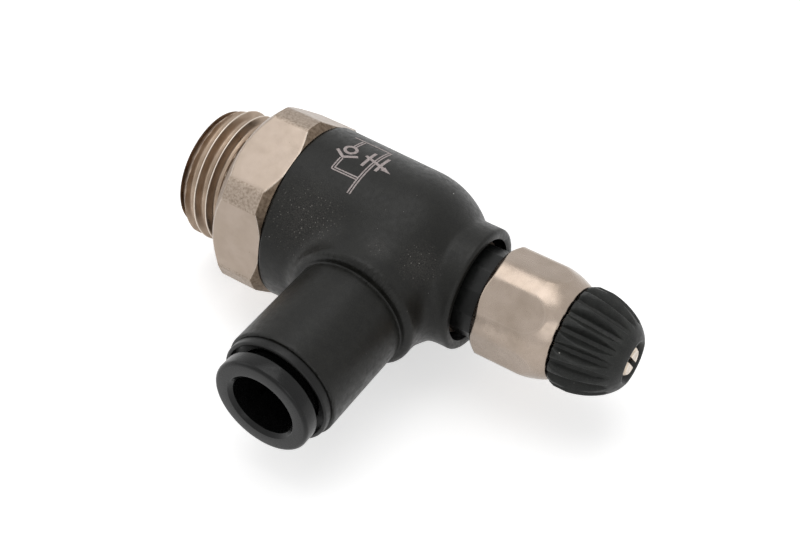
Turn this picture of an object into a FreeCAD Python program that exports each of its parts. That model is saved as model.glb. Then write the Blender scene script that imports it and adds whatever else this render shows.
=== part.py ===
import FreeCAD, Part
import math
import os

# Flow control valve with a banjo body, a push-in tube branch and a knob-operated needle.
# Millimetres. The stem lies along X and its seat on the port is the plane X = 0, with the
# port thread towards -X and the knob towards +X. The tube branch points along -Y.
# Stations along the stem are chained from the seat, and radii from the bores outwards.

# Clearances and allowances shared by the fits.
RUNNING_GAP = 0.05
PRESS_GAP = 0.01
GROOVE_SIDE_GAP = 0.15
FULL_TURN = 360.0
HEXAGON_SIDES = 6
OVERRUN = 1.0

# Port thread, G 1/4 to ISO 228: right-hand, 55 degree flanks.
THREAD_MAJOR_R = 6.578
THREAD_PITCH = 1.337
THREAD_HEIGHT = 0.856
THREAD_LENGTH = 5.85
THREAD_CREST_WIDTH = 0.223
THREAD_FLANK_DEG = 27.5
THREAD_END_CHAMFER = 0.75
THREAD_UNDERCUT_LENGTH = 0.95
THREAD_START_DEG = 200.0
THREAD_CORE_OVERLAP = 0.15

# Hexagon of the stem and the captive sealing ring in its seat face.
HEX_ACROSS_FLATS = 17.0
HEX_CORNER_R = 9.25
HEX_THICKNESS = 5.35
HEX_CLOCKING_DEG = 49.4
HEX_SEAT_CHAMFER = 0.9
HEX_BODY_CHAMFER = 0.67
FACE_GROOVE_INSET = 0.272
FACE_GROOVE_WIDTH = 1.15
FACE_GROOVE_DEPTH = 1.1
FACE_GROOVE_INNER_R = THREAD_MAJOR_R + FACE_GROOVE_INSET
FACE_GROOVE_OUTER_R = FACE_GROOVE_INNER_R + FACE_GROOVE_WIDTH

# Spindle, an M5 x 0.5 adjusting screw: everything round it is sized from its radius.
SPINDLE_R = 2.5
SPINDLE_TRAVEL = 5.0
GLAND_BORE_R = SPINDLE_R + RUNNING_GAP
NEEDLE_SHAFT_STEP = 0.5
NEEDLE_SHAFT_R = SPINDLE_R - NEEDLE_SHAFT_STEP
STOP_GROOVE_DEPTH = 0.3
STOP_GROOVE_R = NEEDLE_SHAFT_R - STOP_GROOVE_DEPTH
STOP_RING_PROUD = 0.2
STOP_RING_OUTER_R = SPINDLE_R + STOP_RING_PROUD
STOP_RING_THICKNESS = 0.55
NEEDLE_CHAMBER_GAP = 0.1
NEEDLE_CHAMBER_R = STOP_RING_OUTER_R + NEEDLE_CHAMBER_GAP
SPINDLE_ORING_SECTION = 0.8
SPINDLE_ORING_INSET = 1.1

# Radii of the stem and of the body's cavity round it.
BODY_SHOULDER_R = 8.35
BODY_BASE_FLARE = 0.25
BODY_WALL = 1.75
BODY_BASE_R = BODY_SHOULDER_R + BODY_BASE_FLARE
CAVITY_R = BODY_SHOULDER_R - BODY_WALL
SPIGOT_R = CAVITY_R - RUNNING_GAP
CHAMBER_WALL = 1.9
SHANK_R = NEEDLE_CHAMBER_R + CHAMBER_WALL
LAND_STEP = 0.2
LAND_R = SHANK_R - LAND_STEP
TAIL_WALL = 0.75
TAIL_R = GLAND_BORE_R + TAIL_WALL
SEAT_STEP = 0.4
PORT_BORE_R = NEEDLE_CHAMBER_R + SEAT_STEP
PORT_BORE_CHAMFER = 0.4
LIP_GROOVE_WALL = 0.8
LIP_GROOVE_R = PORT_BORE_R + LIP_GROOVE_WALL

# Stations of the body along the stem.
SWIVEL_END_GAP = 0.05
BODY_BASE_X = HEX_THICKNESS + SWIVEL_END_GAP
BODY_BARREL_LENGTH = 10.15
BODY_SHOULDER_X = BODY_BASE_X + BODY_BARREL_LENGTH
BODY_SHOULDER_LENGTH = 5.8
NECK_LENGTH = 2.6
NECK_END_X = BODY_SHOULDER_X + BODY_SHOULDER_LENGTH + NECK_LENGTH
NECK_EDGE_ROUND = 0.45
NECK_RECESS_DEPTH = 2.05
NECK_RECESS_X = NECK_END_X - NECK_RECESS_DEPTH
NECK_RECESS_MARGIN = 0.75
NECK_RECESS_R = LAND_R + NECK_RECESS_MARGIN
NECK_WALL = 0.7
NECK_R = NECK_RECESS_R + NECK_WALL
LAND_LENGTH = 2.65
LAND_START_X = NECK_RECESS_X - LAND_LENGTH
CAVITY_TAPER_LENGTH = 2.0
CAVITY_TAPER_STEP = 0.2
CAVITY_TAPER_X = LAND_START_X - RUNNING_GAP - CAVITY_TAPER_LENGTH
CAVITY_TAPER_R = SHANK_R + CAVITY_TAPER_STEP
BRANCH_SETBACK = 8.25
BRANCH_X = NECK_END_X - BRANCH_SETBACK

# Stations of the stem: spigot, lip seal groove, throttle seat, gland and tail.
SPIGOT_LENGTH = 2.65
SPIGOT_END_X = HEX_THICKNESS + SPIGOT_LENGTH
LOWER_ORING_INSET = 1.25
LOWER_ORING_X = SPIGOT_END_X - LOWER_ORING_INSET
LOWER_ORING_SECTION = 1.0
SUPPLY_HOLE_INSET = 1.2
SUPPLY_HOLE_X = SPIGOT_END_X + SUPPLY_HOLE_INSET
SUPPLY_HOLE_R = 0.9
OUTLET_HOLE_R = 1.3
FLOW_HOLE_COUNT = 4
SUPPLY_HOLE_TURN_DEG = 0.0
OUTLET_HOLE_TURN_DEG = 45.0
LIP_GROOVE_INSET = 2.6
LIP_GROOVE_X = SPIGOT_END_X + LIP_GROOVE_INSET
LIP_GROOVE_WIDTH = 2.4
LIP_SEAL_HEEL_MARGIN = 0.8
LIP_SEAL_HEEL_R = CAVITY_R - LIP_SEAL_HEEL_MARGIN
LIP_THICKNESS = 0.45
SEAT_SHOULDER_X = LIP_GROOVE_X + LIP_GROOVE_WIDTH
GLAND_INSET = 0.25
GLAND_START_X = LAND_START_X - GLAND_INSET
SPINDLE_ORING_X = GLAND_START_X + SPINDLE_ORING_INSET
UPPER_ORING_INSET = 1.15
UPPER_ORING_X = LAND_START_X + UPPER_ORING_INSET
UPPER_ORING_SECTION = 0.8
LAND_END_MARGIN = 1.1
LAND_END_X = NECK_RECESS_X + LAND_END_MARGIN
TAIL_LENGTH = 3.4
TAIL_END_X = LAND_END_X + TAIL_LENGTH
RETAINER_THICKNESS = 0.45
RETAINER_GROOVE_DEPTH = 0.6
RETAINER_GROOVE_R = LAND_R - RETAINER_GROOVE_DEPTH
RETAINER_PROUD = 0.45
RETAINER_OUTER_R = LAND_R + RETAINER_PROUD
RING_OPENING_DEG = 40.0

# Throttle seat pressed into the stem, and the needle that closes it.
SEAT_LENGTH = 2.0
ORIFICE_R = 1.3
ORIFICE_LENGTH = 1.2
NEEDLE_TIP_LENGTH = 3.0
NEEDLE_TIP_R = 0.35
NEEDLE_CLOSED_GAP = 0.05

# Faceted black bonnet sleeve on the stem's tail.
SLEEVE_WALL = 0.9
SLEEVE_R = TAIL_R + SLEEVE_WALL
SLEEVE_FACETS = 12
SLEEVE_OVERHANG = 0.3
SLEEVE_END_X = TAIL_END_X + SLEEVE_OVERHANG

# Lock nut: its skirt clears the sleeve.
NUT_SKIRT_GAP = 0.18
NUT_SKIRT_BORE_R = SLEEVE_R + NUT_SKIRT_GAP
NUT_SKIRT_WALL = 0.62
NUT_ACROSS_FLATS = 2 * (NUT_SKIRT_BORE_R + NUT_SKIRT_WALL)
NUT_CORNER_STEP = 0.28
NUT_CORNER_R = NUT_ACROSS_FLATS / 2 + NUT_CORNER_STEP
NUT_NECK_GAP = 1.8
NUT_START_X = NECK_END_X + NUT_NECK_GAP
NUT_LENGTH = 7.5
NUT_END_X = NUT_START_X + NUT_LENGTH
NUT_RIM_CHAMFER = 0.45
NUT_RIM_STEP = 0.43
NUT_RIM_R = NUT_CORNER_R - NUT_RIM_STEP
NUT_LOCK_TRAVEL = 1.5
NUT_SEAT_GAP = 0.1
NUT_DOME_LENGTH = 2.65
NUT_TOP_STEP = 0.78
NUT_TOP_R = NUT_CORNER_R - NUT_TOP_STEP
NUT_DOME_CROWN = 0.13
NUT_CLOCKING_DEG = 12.0
FRICTION_RING_INSET = 2.25
FRICTION_RING_X = NUT_END_X - FRICTION_RING_INSET
FRICTION_RING_WIDTH = 1.2
FRICTION_RING_WALL = 0.85
FRICTION_RING_OUTER_R = GLAND_BORE_R + FRICTION_RING_WALL

# Ribbed knob and the flatted spindle end that it sits on.
KNOB_NUT_GAP = 0.2
KNOB_START_X = NUT_END_X + KNOB_NUT_GAP
KNOB_LENGTH = 6.3
KNOB_MAX_R = 4.8
KNOB_RIM_STEP = 0.2
KNOB_RIM_R = KNOB_MAX_R - KNOB_RIM_STEP
KNOB_RIM_CHAMFER = 0.5
KNOB_BAND_LENGTH = 1.2
KNOB_NOSE_LENGTH = 1.4
KNOB_NOSE_X = KNOB_START_X + KNOB_LENGTH - KNOB_NOSE_LENGTH
KNOB_NOSE_STEP = 1.2
KNOB_NOSE_R = KNOB_MAX_R - KNOB_NOSE_STEP
KNOB_SIDE_CROWN = 0.2
KNOB_NOSE_CROWN = 0.19
KNOB_RIB_COUNT = 18
KNOB_GROOVE_DEPTH = 0.5
KNOB_GROOVE_WIDTH = 0.95
KNOB_DRIVE_STEP = 0.55
KNOB_DRIVE_R = SPINDLE_R - KNOB_DRIVE_STEP
KNOB_DRIVE_FLAT_DEPTH = 0.4
KNOB_DRIVE_ACROSS_FLATS = 2 * (KNOB_DRIVE_R - KNOB_DRIVE_FLAT_DEPTH)
KNOB_DRIVE_INSET = 1.05
KNOB_DRIVE_START_X = KNOB_START_X + KNOB_DRIVE_INSET
KNOB_DRIVE_LENGTH = 3.0
KNOB_DRIVE_END_X = KNOB_DRIVE_START_X + KNOB_DRIVE_LENGTH
SPINDLE_END_STEP = 0.6
SPINDLE_END_R = KNOB_DRIVE_R - SPINDLE_END_STEP
SPINDLE_END_GAP = 0.3
KNOB_HOLE_R = SPINDLE_END_R + SPINDLE_END_GAP
KNOB_FRONT_STEP = 0.45
KNOB_FRONT_R = KNOB_HOLE_R + KNOB_FRONT_STEP
SPINDLE_END_INSET = 0.4
SPINDLE_END_X = KNOB_START_X + KNOB_LENGTH - SPINDLE_END_INSET
SPINDLE_END_CHAMFER = 0.2
SLOT_WIDTH = 0.5
SLOT_DEPTH = 0.9
SLOT_TURN_DEG = 35.0

# Tube branch: distances are measured from the stem axis along -Y, radii from the tube outwards.
TUBE_R = 3.0
TUBE_CLEARANCE = 0.06
TUBE_BORE_R = TUBE_R + TUBE_CLEARANCE
COLLET_WALL = 0.79
COLLET_BARREL_R = TUBE_BORE_R + COLLET_WALL
COLLET_HEAD_STEP = 0.55
COLLET_HEAD_R = COLLET_BARREL_R + COLLET_HEAD_STEP
COLLET_HEAD_GAP = 0.35
CARTRIDGE_R = COLLET_HEAD_R + COLLET_HEAD_GAP
BRANCH_WALL = 0.75
BRANCH_R = CARTRIDGE_R + BRANCH_WALL
TUBE_STOP_STEP = 0.6
BRANCH_FLOW_R = TUBE_R - TUBE_STOP_STEP
BRANCH_ROOT_STEP = 0.8
BRANCH_ROOT_RISE = 0.35
BRANCH_ROOT_LENGTH = BODY_SHOULDER_R + BRANCH_ROOT_RISE
BRANCH_ROOT_ROUND = 0.6
BRANCH_LENGTH = 19.1
TUBE_STOP_DEPTH = 9.1
TUBE_STOP = BRANCH_LENGTH - TUBE_STOP_DEPTH
TUBE_GUIDE_LENGTH = 2.4
TUBE_ORING_START = TUBE_STOP + TUBE_GUIDE_LENGTH
TUBE_ORING_SECTION = 1.4
TUBE_ORING_GAP = 0.1
BACKING_RING_START = TUBE_ORING_START + TUBE_ORING_SECTION + 2 * TUBE_ORING_GAP
BACKING_RING_THICKNESS = 0.6

# Ring that closes the branch, the release collet and its claw ring.
END_RING_SPIGOT = 2.1
END_RING_START = BRANCH_LENGTH - END_RING_SPIGOT
END_RING_HEIGHT = 0.9
END_RING_FACE = BRANCH_LENGTH + END_RING_HEIGHT
END_RING_STEP = 0.25
END_RING_R = BRANCH_R - END_RING_STEP
END_RING_BORE_GAP = 0.15
END_RING_BORE_R = COLLET_BARREL_R + END_RING_BORE_GAP
END_RING_FLOOR = 0.2
END_RING_ROUND = 0.3
COLLET_HEAD_INSET = 1.0
COLLET_START = END_RING_START - COLLET_HEAD_INSET
COLLET_HEAD_LENGTH = 0.6
COLLET_FLANGE_GAP = 0.5
COLLET_FLANGE_BACK = END_RING_FACE + COLLET_FLANGE_GAP
COLLET_FLANGE_THICKNESS = 1.6
COLLET_FLANGE_FRONT = COLLET_FLANGE_BACK + COLLET_FLANGE_THICKNESS
COLLET_FLANGE_STEP = 0.95
COLLET_FLANGE_R = COLLET_BARREL_R + COLLET_FLANGE_STEP
COLLET_FLANGE_ROUND = 0.35
END_RING_RECESS_GAP = 0.1
END_RING_RECESS_R = COLLET_FLANGE_R + END_RING_RECESS_GAP
COLLET_MOUTH_FLARE = 0.34
COLLET_SLIT_WIDTH = 0.6
COLLET_SLIT_LENGTH = 3.4
COLLET_SLIT_COUNT = 4
COLLET_SLIT_TURN_DEG = 45.0
CLAW_RING_OFFSET = 0.35
CLAW_RING_THICKNESS = 0.3
CLAW_RING_BITE = 0.44
CLAW_RING_OUTER_R = TUBE_BORE_R + CLAW_RING_BITE
CLAW_TIP_R = TUBE_R
CLAW_NOTCH_COUNT = 12
CLAW_NOTCH_WIDTH = 0.5
CLAW_NOTCH_DEPTH = 0.25
CLAW_NOTCH_R = CLAW_TIP_R + CLAW_NOTCH_DEPTH

STEM_AXIS = FreeCAD.Vector(1, 0, 0)
BRANCH_AXIS = FreeCAD.Vector(0, -1, 0)
BRANCH_ORIGIN = FreeCAD.Vector(BRANCH_X, 0, 0)
ORIGIN = FreeCAD.Vector(0, 0, 0)


def on_stem(along, radius):
    """Point of a stem outline: distance along X and radius."""
    return FreeCAD.Vector(along, radius, 0)


def on_branch(along, radius):
    """Point of a branch outline: distance along -Y and radius."""
    return FreeCAD.Vector(BRANCH_X + radius, -along, 0)


def turned(outline, place, origin, axis):
    """Solid of revolution. Each outline entry is a corner (a, r) or an arc (a, r, mid a, mid r)."""
    edges = []
    corners = [place(entry[0], entry[1]) for entry in outline]
    for index, entry in enumerate(outline):
        start = corners[index - 1]
        end = corners[index]
        if len(entry) == 4:
            edges.append(Part.Arc(start, place(entry[2], entry[3]), end).toShape())
        else:
            edges.append(Part.LineSegment(start, end).toShape())
    face = Part.Face(Part.Wire(edges))
    return face.revolve(origin, axis, FULL_TURN)


def turned_on_stem(outline):
    """Solid of revolution about the stem axis."""
    return turned(outline, on_stem, ORIGIN, STEM_AXIS)


def turned_on_branch(outline):
    """Solid of revolution about the branch axis."""
    return turned(outline, on_branch, BRANCH_ORIGIN, BRANCH_AXIS)


def stem_rod(start, end, radius):
    """Cylinder on the stem axis."""
    return Part.makeCylinder(radius, end - start, FreeCAD.Vector(start, 0, 0), STEM_AXIS)


def stem_tube(start, end, inner, outer):
    """Plain ring on the stem axis."""
    return stem_rod(start, end, outer).cut(stem_rod(start - OVERRUN, end + OVERRUN, inner))


def branch_rod(start, end, radius):
    """Cylinder on the branch axis."""
    base = BRANCH_ORIGIN + BRANCH_AXIS * start
    return Part.makeCylinder(radius, end - start, base, BRANCH_AXIS)


def branch_tube(start, end, inner, outer):
    """Plain ring on the branch axis."""
    return branch_rod(start, end, outer).cut(branch_rod(start - OVERRUN, end + OVERRUN, inner))


def stem_prism(start, end, sides, across_flats, clocking):
    """Regular prism on the stem axis; clocking is a flat's direction from +Y towards +Z."""
    corner_r = across_flats / 2 / math.cos(math.pi / sides)
    corners = []
    for index in range(sides + 1):
        angle = math.radians(clocking) + math.pi * (2 * index + 1) / sides
        corner = FreeCAD.Vector(start, corner_r * math.cos(angle), corner_r * math.sin(angle))
        corners.append(corner)
    return Part.Face(Part.makePolygon(corners)).extrude(STEM_AXIS * (end - start))


def stem_oring(middle, section, outer):
    """O-ring on the stem axis that fills its groove up to the outer radius."""
    return Part.makeTorus(outer - section / 2, section / 2, on_stem(middle, 0), STEM_AXIS)


def oring_groove(middle, section, outer):
    """Cutter of an O-ring groove, wider than the ring by a gap on each side."""
    half = section / 2 + GROOVE_SIDE_GAP
    return stem_tube(middle - half, middle + half, outer - section, outer + OVERRUN)


def cross_holes(along, radius, turn):
    """Radial flow holes spread evenly around the stem."""
    holes = []
    for index in range(FLOW_HOLE_COUNT):
        hole = Part.makeCylinder(radius, SHANK_R + OVERRUN, on_stem(along, 0), -BRANCH_AXIS)
        hole.rotate(ORIGIN, STEM_AXIS, turn + index * FULL_TURN / FLOW_HOLE_COUNT)
        holes.append(hole)
    return Part.makeCompound(holes)


def open_gap(ring, start, outer, thickness):
    """Cut a sector out of a ring on the stem axis, leaving a C."""
    reach = outer + OVERRUN
    half_width = reach * math.tan(math.radians(RING_OPENING_DEG / 2))
    corners = [on_stem(start - OVERRUN, 0)]
    corners.append(FreeCAD.Vector(start - OVERRUN, reach, -half_width))
    corners.append(FreeCAD.Vector(start - OVERRUN, reach, half_width))
    corners.append(corners[0])
    sector = Part.Face(Part.makePolygon(corners)).extrude(STEM_AXIS * (thickness + 2 * OVERRUN))
    return ring.cut(sector)


def thread_ridge():
    """Helical ridge of the port thread, run past both ends of the threaded length."""
    minor = THREAD_MAJOR_R - THREAD_HEIGHT
    flank = math.tan(math.radians(THREAD_FLANK_DEG))
    crest_half = THREAD_CREST_WIDTH / 2
    root_half = crest_half + (THREAD_HEIGHT + THREAD_CORE_OVERLAP) * flank
    root_r = minor - THREAD_CORE_OVERLAP
    corners = [FreeCAD.Vector(root_r, 0, -root_half)]
    corners.append(FreeCAD.Vector(THREAD_MAJOR_R, 0, -crest_half))
    corners.append(FreeCAD.Vector(THREAD_MAJOR_R, 0, crest_half))
    corners.append(FreeCAD.Vector(root_r, 0, root_half))
    corners.append(corners[0])
    helix = Part.makeLongHelix(THREAD_PITCH, THREAD_LENGTH + THREAD_PITCH, minor)
    ridge = Part.Wire(helix.Edges).makePipeShell([Part.makePolygon(corners)], True, True)
    ridge.rotate(ORIGIN, FreeCAD.Vector(0, 0, 1), THREAD_START_DEG)
    ridge.rotate(ORIGIN, FreeCAD.Vector(0, 1, 0), -90)
    return ridge


def port_thread():
    """Threaded length with a chamfered end and an undercut below the seat."""
    minor = THREAD_MAJOR_R - THREAD_HEIGHT
    core = stem_rod(-THREAD_LENGTH, 0, minor)
    runout = THREAD_UNDERCUT_LENGTH + THREAD_HEIGHT
    envelope = [(-THREAD_LENGTH, 0), (-THREAD_LENGTH, THREAD_MAJOR_R - THREAD_END_CHAMFER)]
    envelope.append((THREAD_END_CHAMFER - THREAD_LENGTH, THREAD_MAJOR_R))
    envelope.append((-runout, THREAD_MAJOR_R))
    envelope.append((-THREAD_UNDERCUT_LENGTH, minor))
    envelope.append((0, minor))
    envelope.append((0, 0))
    return core.fuse(thread_ridge()).common(turned_on_stem(envelope))


def hexagon():
    """Spanner hexagon with turned-down corners and both edges chamfered."""
    envelope = [(0, 0), (0, HEX_CORNER_R - HEX_SEAT_CHAMFER), (HEX_SEAT_CHAMFER, HEX_CORNER_R)]
    envelope.append((HEX_THICKNESS - HEX_BODY_CHAMFER, HEX_CORNER_R))
    envelope.append((HEX_THICKNESS, HEX_CORNER_R - HEX_BODY_CHAMFER))
    envelope.append((HEX_THICKNESS, 0))
    prism = stem_prism(0, HEX_THICKNESS, HEXAGON_SIDES, HEX_ACROSS_FLATS, HEX_CLOCKING_DEG)
    return prism.common(turned_on_stem(envelope))


def stem_outside():
    """Spigot, shank, swivel land and tail of the stem, as one turned shape."""
    outline = [(0, 0), (0, SPIGOT_R - OVERRUN), (HEX_THICKNESS, SPIGOT_R)]
    outline.append((SPIGOT_END_X, SPIGOT_R))
    outline.append((SPIGOT_END_X, SHANK_R))
    outline.append((LAND_START_X - (SHANK_R - LAND_R), SHANK_R))
    outline.append((LAND_START_X, LAND_R))
    outline.append((LAND_END_X, LAND_R))
    outline.append((LAND_END_X, TAIL_R))
    outline.append((TAIL_END_X, TAIL_R))
    outline.append((TAIL_END_X, 0))
    return turned_on_stem(outline)


def stem_inside():
    """Cutter for the port bore, the needle chamber and the spindle gland."""
    outline = [(-THREAD_LENGTH - OVERRUN, 0)]
    outline.append((-THREAD_LENGTH - OVERRUN, PORT_BORE_R + PORT_BORE_CHAMFER + OVERRUN))
    outline.append((PORT_BORE_CHAMFER - THREAD_LENGTH, PORT_BORE_R))
    outline.append((SEAT_SHOULDER_X, PORT_BORE_R))
    outline.append((SEAT_SHOULDER_X, NEEDLE_CHAMBER_R))
    outline.append((GLAND_START_X, NEEDLE_CHAMBER_R))
    outline.append((GLAND_START_X, GLAND_BORE_R))
    outline.append((TAIL_END_X + OVERRUN, GLAND_BORE_R))
    outline.append((TAIL_END_X + OVERRUN, 0))
    return turned_on_stem(outline)


def retainer_start():
    """Near side of the retaining ring, just above the body's inner shoulder."""
    return NECK_RECESS_X + 2 * RUNNING_GAP


def threaded_stem():
    """Nickel-plated stem: port thread, hexagon, seal grooves, flow holes and gland."""
    stem = stem_outside().fuse([port_thread(), hexagon()])
    start = retainer_start() - RUNNING_GAP
    end = retainer_start() + RETAINER_THICKNESS + RUNNING_GAP
    lip_end = LIP_GROOVE_X + LIP_GROOVE_WIDTH
    cutters = [stem_inside()]
    cutters.append(stem_tube(-OVERRUN, FACE_GROOVE_DEPTH, FACE_GROOVE_INNER_R, FACE_GROOVE_OUTER_R))
    cutters.append(oring_groove(LOWER_ORING_X, LOWER_ORING_SECTION, SPIGOT_R))
    cutters.append(oring_groove(UPPER_ORING_X, UPPER_ORING_SECTION, LAND_R))
    cutters.append(stem_tube(LIP_GROOVE_X, lip_end, LIP_GROOVE_R, SHANK_R + OVERRUN))
    cutters.append(stem_tube(start, end, RETAINER_GROOVE_R, LAND_R + OVERRUN))
    cutters.append(cross_holes(SUPPLY_HOLE_X, SUPPLY_HOLE_R, SUPPLY_HOLE_TURN_DEG))
    cutters.append(cross_holes(BRANCH_X, OUTLET_HOLE_R, OUTLET_HOLE_TURN_DEG))
    return stem.cut(cutters).removeSplitter()


def port_face_seal():
    """Captive sealing ring in the seat face, flush as it is once tightened on a port."""
    inner = FACE_GROOVE_INNER_R + RUNNING_GAP
    outer = FACE_GROOVE_OUTER_R - RUNNING_GAP
    shoulder = FACE_GROOVE_DEPTH / 2
    outline = [(FACE_GROOVE_DEPTH, inner), (FACE_GROOVE_DEPTH, outer), (shoulder, outer)]
    outline.append((shoulder, inner, RUNNING_GAP, (inner + outer) / 2))
    return turned_on_stem(outline)


def lower_stem_oring():
    """O-ring between the stem's spigot and the body."""
    return stem_oring(LOWER_ORING_X, LOWER_ORING_SECTION, SPIGOT_R)


def upper_stem_oring():
    """O-ring between the stem's upper land and the body."""
    return stem_oring(UPPER_ORING_X, UPPER_ORING_SECTION, LAND_R)


def check_lip_seal():
    """U-shaped check seal in the shank's groove; its lip opens towards the port."""
    start = LIP_GROOVE_X + GROOVE_SIDE_GAP
    end = LIP_GROOVE_X + LIP_GROOVE_WIDTH - GROOVE_SIDE_GAP
    inner = LIP_GROOVE_R + PRESS_GAP
    tip = CAVITY_R - 2 * RUNNING_GAP
    hinge = end - 2 * LIP_THICKNESS
    outline = [(end, inner), (end, LIP_SEAL_HEEL_R), (start, tip)]
    outline.append((start, tip - LIP_THICKNESS))
    outline.append((hinge, LIP_SEAL_HEEL_R - LIP_THICKNESS))
    outline.append((hinge, inner + LIP_THICKNESS))
    outline.append((start, inner + LIP_THICKNESS))
    outline.append((start, inner))
    return turned_on_stem(outline)


def seat_throat_x():
    """Where the orifice opens into the seat's cone."""
    return SEAT_SHOULDER_X - SEAT_LENGTH + ORIFICE_LENGTH


def throttle_seat():
    """Brass seat pressed against the shoulder of the port bore."""
    start = SEAT_SHOULDER_X - SEAT_LENGTH
    outer = PORT_BORE_R - PRESS_GAP
    cone = SEAT_SHOULDER_X - seat_throat_x()
    outline = [(start, ORIFICE_R), (start, outer), (SEAT_SHOULDER_X, outer)]
    outline.append((SEAT_SHOULDER_X, ORIFICE_R + cone))
    outline.append((seat_throat_x(), ORIFICE_R))
    return turned_on_stem(outline)


def stem_retaining_ring():
    """Split ring that keeps the body on the stem."""
    start = retainer_start()
    inner = RETAINER_GROOVE_R + RUNNING_GAP
    ring = stem_tube(start, start + RETAINER_THICKNESS, inner, RETAINER_OUTER_R)
    return open_gap(ring, start, RETAINER_OUTER_R, RETAINER_THICKNESS)


def bonnet_sleeve():
    """Black faceted sleeve pressed on the stem's tail."""
    flats = 2 * SLEEVE_R * math.cos(math.pi / SLEEVE_FACETS)
    prism = stem_prism(LAND_END_X, SLEEVE_END_X, SLEEVE_FACETS, flats, 0)
    return prism.cut(stem_rod(LAND_END_X - OVERRUN, SLEEVE_END_X + OVERRUN, TAIL_R + PRESS_GAP))


def stop_ring_start():
    """Near side of the stop ring, set so that it meets the gland after the full travel."""
    return GLAND_START_X - SPINDLE_TRAVEL - RUNNING_GAP - STOP_RING_THICKNESS


def spindle_outside():
    """Turned outline of the spindle, from the needle's tip to the slotted end."""
    parallel_r = ORIFICE_R - RUNNING_GAP
    cone_x = seat_throat_x() + NEEDLE_CLOSED_GAP * (math.sqrt(2) - 1)
    shoulder_x = cone_x + NEEDLE_SHAFT_R - parallel_r
    tip_x = cone_x - NEEDLE_TIP_LENGTH
    outline = [(tip_x, 0), (tip_x, NEEDLE_TIP_R), (cone_x, parallel_r)]
    outline.append((shoulder_x, NEEDLE_SHAFT_R))
    outline.append((GLAND_START_X - RUNNING_GAP, NEEDLE_SHAFT_R))
    outline.append((GLAND_START_X + SPINDLE_R - NEEDLE_SHAFT_R - RUNNING_GAP, SPINDLE_R))
    outline.append((KNOB_DRIVE_START_X, SPINDLE_R))
    outline.append((KNOB_DRIVE_START_X, KNOB_DRIVE_R))
    outline.append((KNOB_DRIVE_END_X, KNOB_DRIVE_R))
    outline.append((KNOB_DRIVE_END_X, SPINDLE_END_R))
    outline.append((SPINDLE_END_X - SPINDLE_END_CHAMFER, SPINDLE_END_R))
    outline.append((SPINDLE_END_X, SPINDLE_END_R - SPINDLE_END_CHAMFER))
    outline.append((SPINDLE_END_X, 0))
    return turned_on_stem(outline)


def drive_flats(start, end, radius, across_flats):
    """Rod on the stem axis with two parallel flats, as cut on the spindle and in the knob."""
    slab = Part.makeBox(end - start, across_flats, 2 * radius + OVERRUN)
    slab.translate(FreeCAD.Vector(start, -across_flats / 2, -radius - OVERRUN / 2))
    return stem_rod(start, end, radius).common(slab)


def adjusting_spindle():
    """Needle and adjusting screw in one piece, with knob flats and a driver slot."""
    full = stem_rod(KNOB_DRIVE_START_X, KNOB_DRIVE_END_X, KNOB_DRIVE_R + OVERRUN)
    flats = (KNOB_DRIVE_START_X, KNOB_DRIVE_END_X, KNOB_DRIVE_R, KNOB_DRIVE_ACROSS_FLATS)
    waste = full.cut(drive_flats(*flats))
    slot = Part.makeBox(SLOT_DEPTH + OVERRUN, SLOT_WIDTH, 2 * SPINDLE_END_R + OVERRUN)
    corner = FreeCAD.Vector(0, -SLOT_WIDTH / 2, -SPINDLE_END_R - OVERRUN / 2)
    slot.translate(corner + on_stem(SPINDLE_END_X - SLOT_DEPTH, 0))
    slot.rotate(ORIGIN, STEM_AXIS, SLOT_TURN_DEG)
    ring_start = stop_ring_start()
    ring_end = ring_start + STOP_RING_THICKNESS
    ring_groove = stem_tube(ring_start, ring_end, STOP_GROOVE_R, NEEDLE_SHAFT_R + OVERRUN)
    seal_groove = oring_groove(SPINDLE_ORING_X, SPINDLE_ORING_SECTION, SPINDLE_R)
    return spindle_outside().cut([waste, slot, ring_groove, seal_groove])


def spindle_stop_ring():
    """Split ring that stops the needle from being unscrewed out of the stem."""
    start = stop_ring_start()
    inner = STOP_GROOVE_R + PRESS_GAP
    ring = stem_tube(start, start + STOP_RING_THICKNESS, inner, STOP_RING_OUTER_R)
    return open_gap(ring, start, STOP_RING_OUTER_R, STOP_RING_THICKNESS)


def spindle_oring():
    """O-ring that seals the spindle in the stem's gland."""
    return stem_oring(SPINDLE_ORING_X, SPINDLE_ORING_SECTION, SPINDLE_R)


def nut_web_x():
    """Floor of the lock nut's skirt, a lock travel and a seat gap above the sleeve."""
    return SLEEVE_END_X + NUT_LOCK_TRAVEL + NUT_SEAT_GAP


def lock_nut():
    """Nickel lock nut: hexagon with turned corners, domed top and a skirt over the sleeve."""
    dome_x = NUT_END_X - NUT_DOME_LENGTH
    dome_mid_r = (NUT_CORNER_R + NUT_TOP_R) / 2 + NUT_DOME_CROWN
    envelope = [(NUT_START_X, 0), (NUT_START_X, NUT_RIM_R)]
    envelope.append((NUT_START_X + NUT_RIM_CHAMFER, NUT_CORNER_R))
    envelope.append((dome_x, NUT_CORNER_R))
    envelope.append((NUT_END_X, NUT_TOP_R, dome_x + NUT_DOME_LENGTH / 2, dome_mid_r))
    envelope.append((NUT_END_X, 0))
    prism = stem_prism(NUT_START_X, NUT_END_X, HEXAGON_SIDES, NUT_ACROSS_FLATS, NUT_CLOCKING_DEG)
    nut = prism.common(turned_on_stem(envelope))
    half = FRICTION_RING_WIDTH / 2
    cutters = [stem_rod(NUT_START_X - OVERRUN, nut_web_x(), NUT_SKIRT_BORE_R)]
    cutters.append(stem_rod(NUT_START_X, NUT_END_X + OVERRUN, GLAND_BORE_R))
    cutters.append(stem_rod(FRICTION_RING_X - half, FRICTION_RING_X + half, FRICTION_RING_OUTER_R))
    return nut.cut(cutters)


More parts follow.
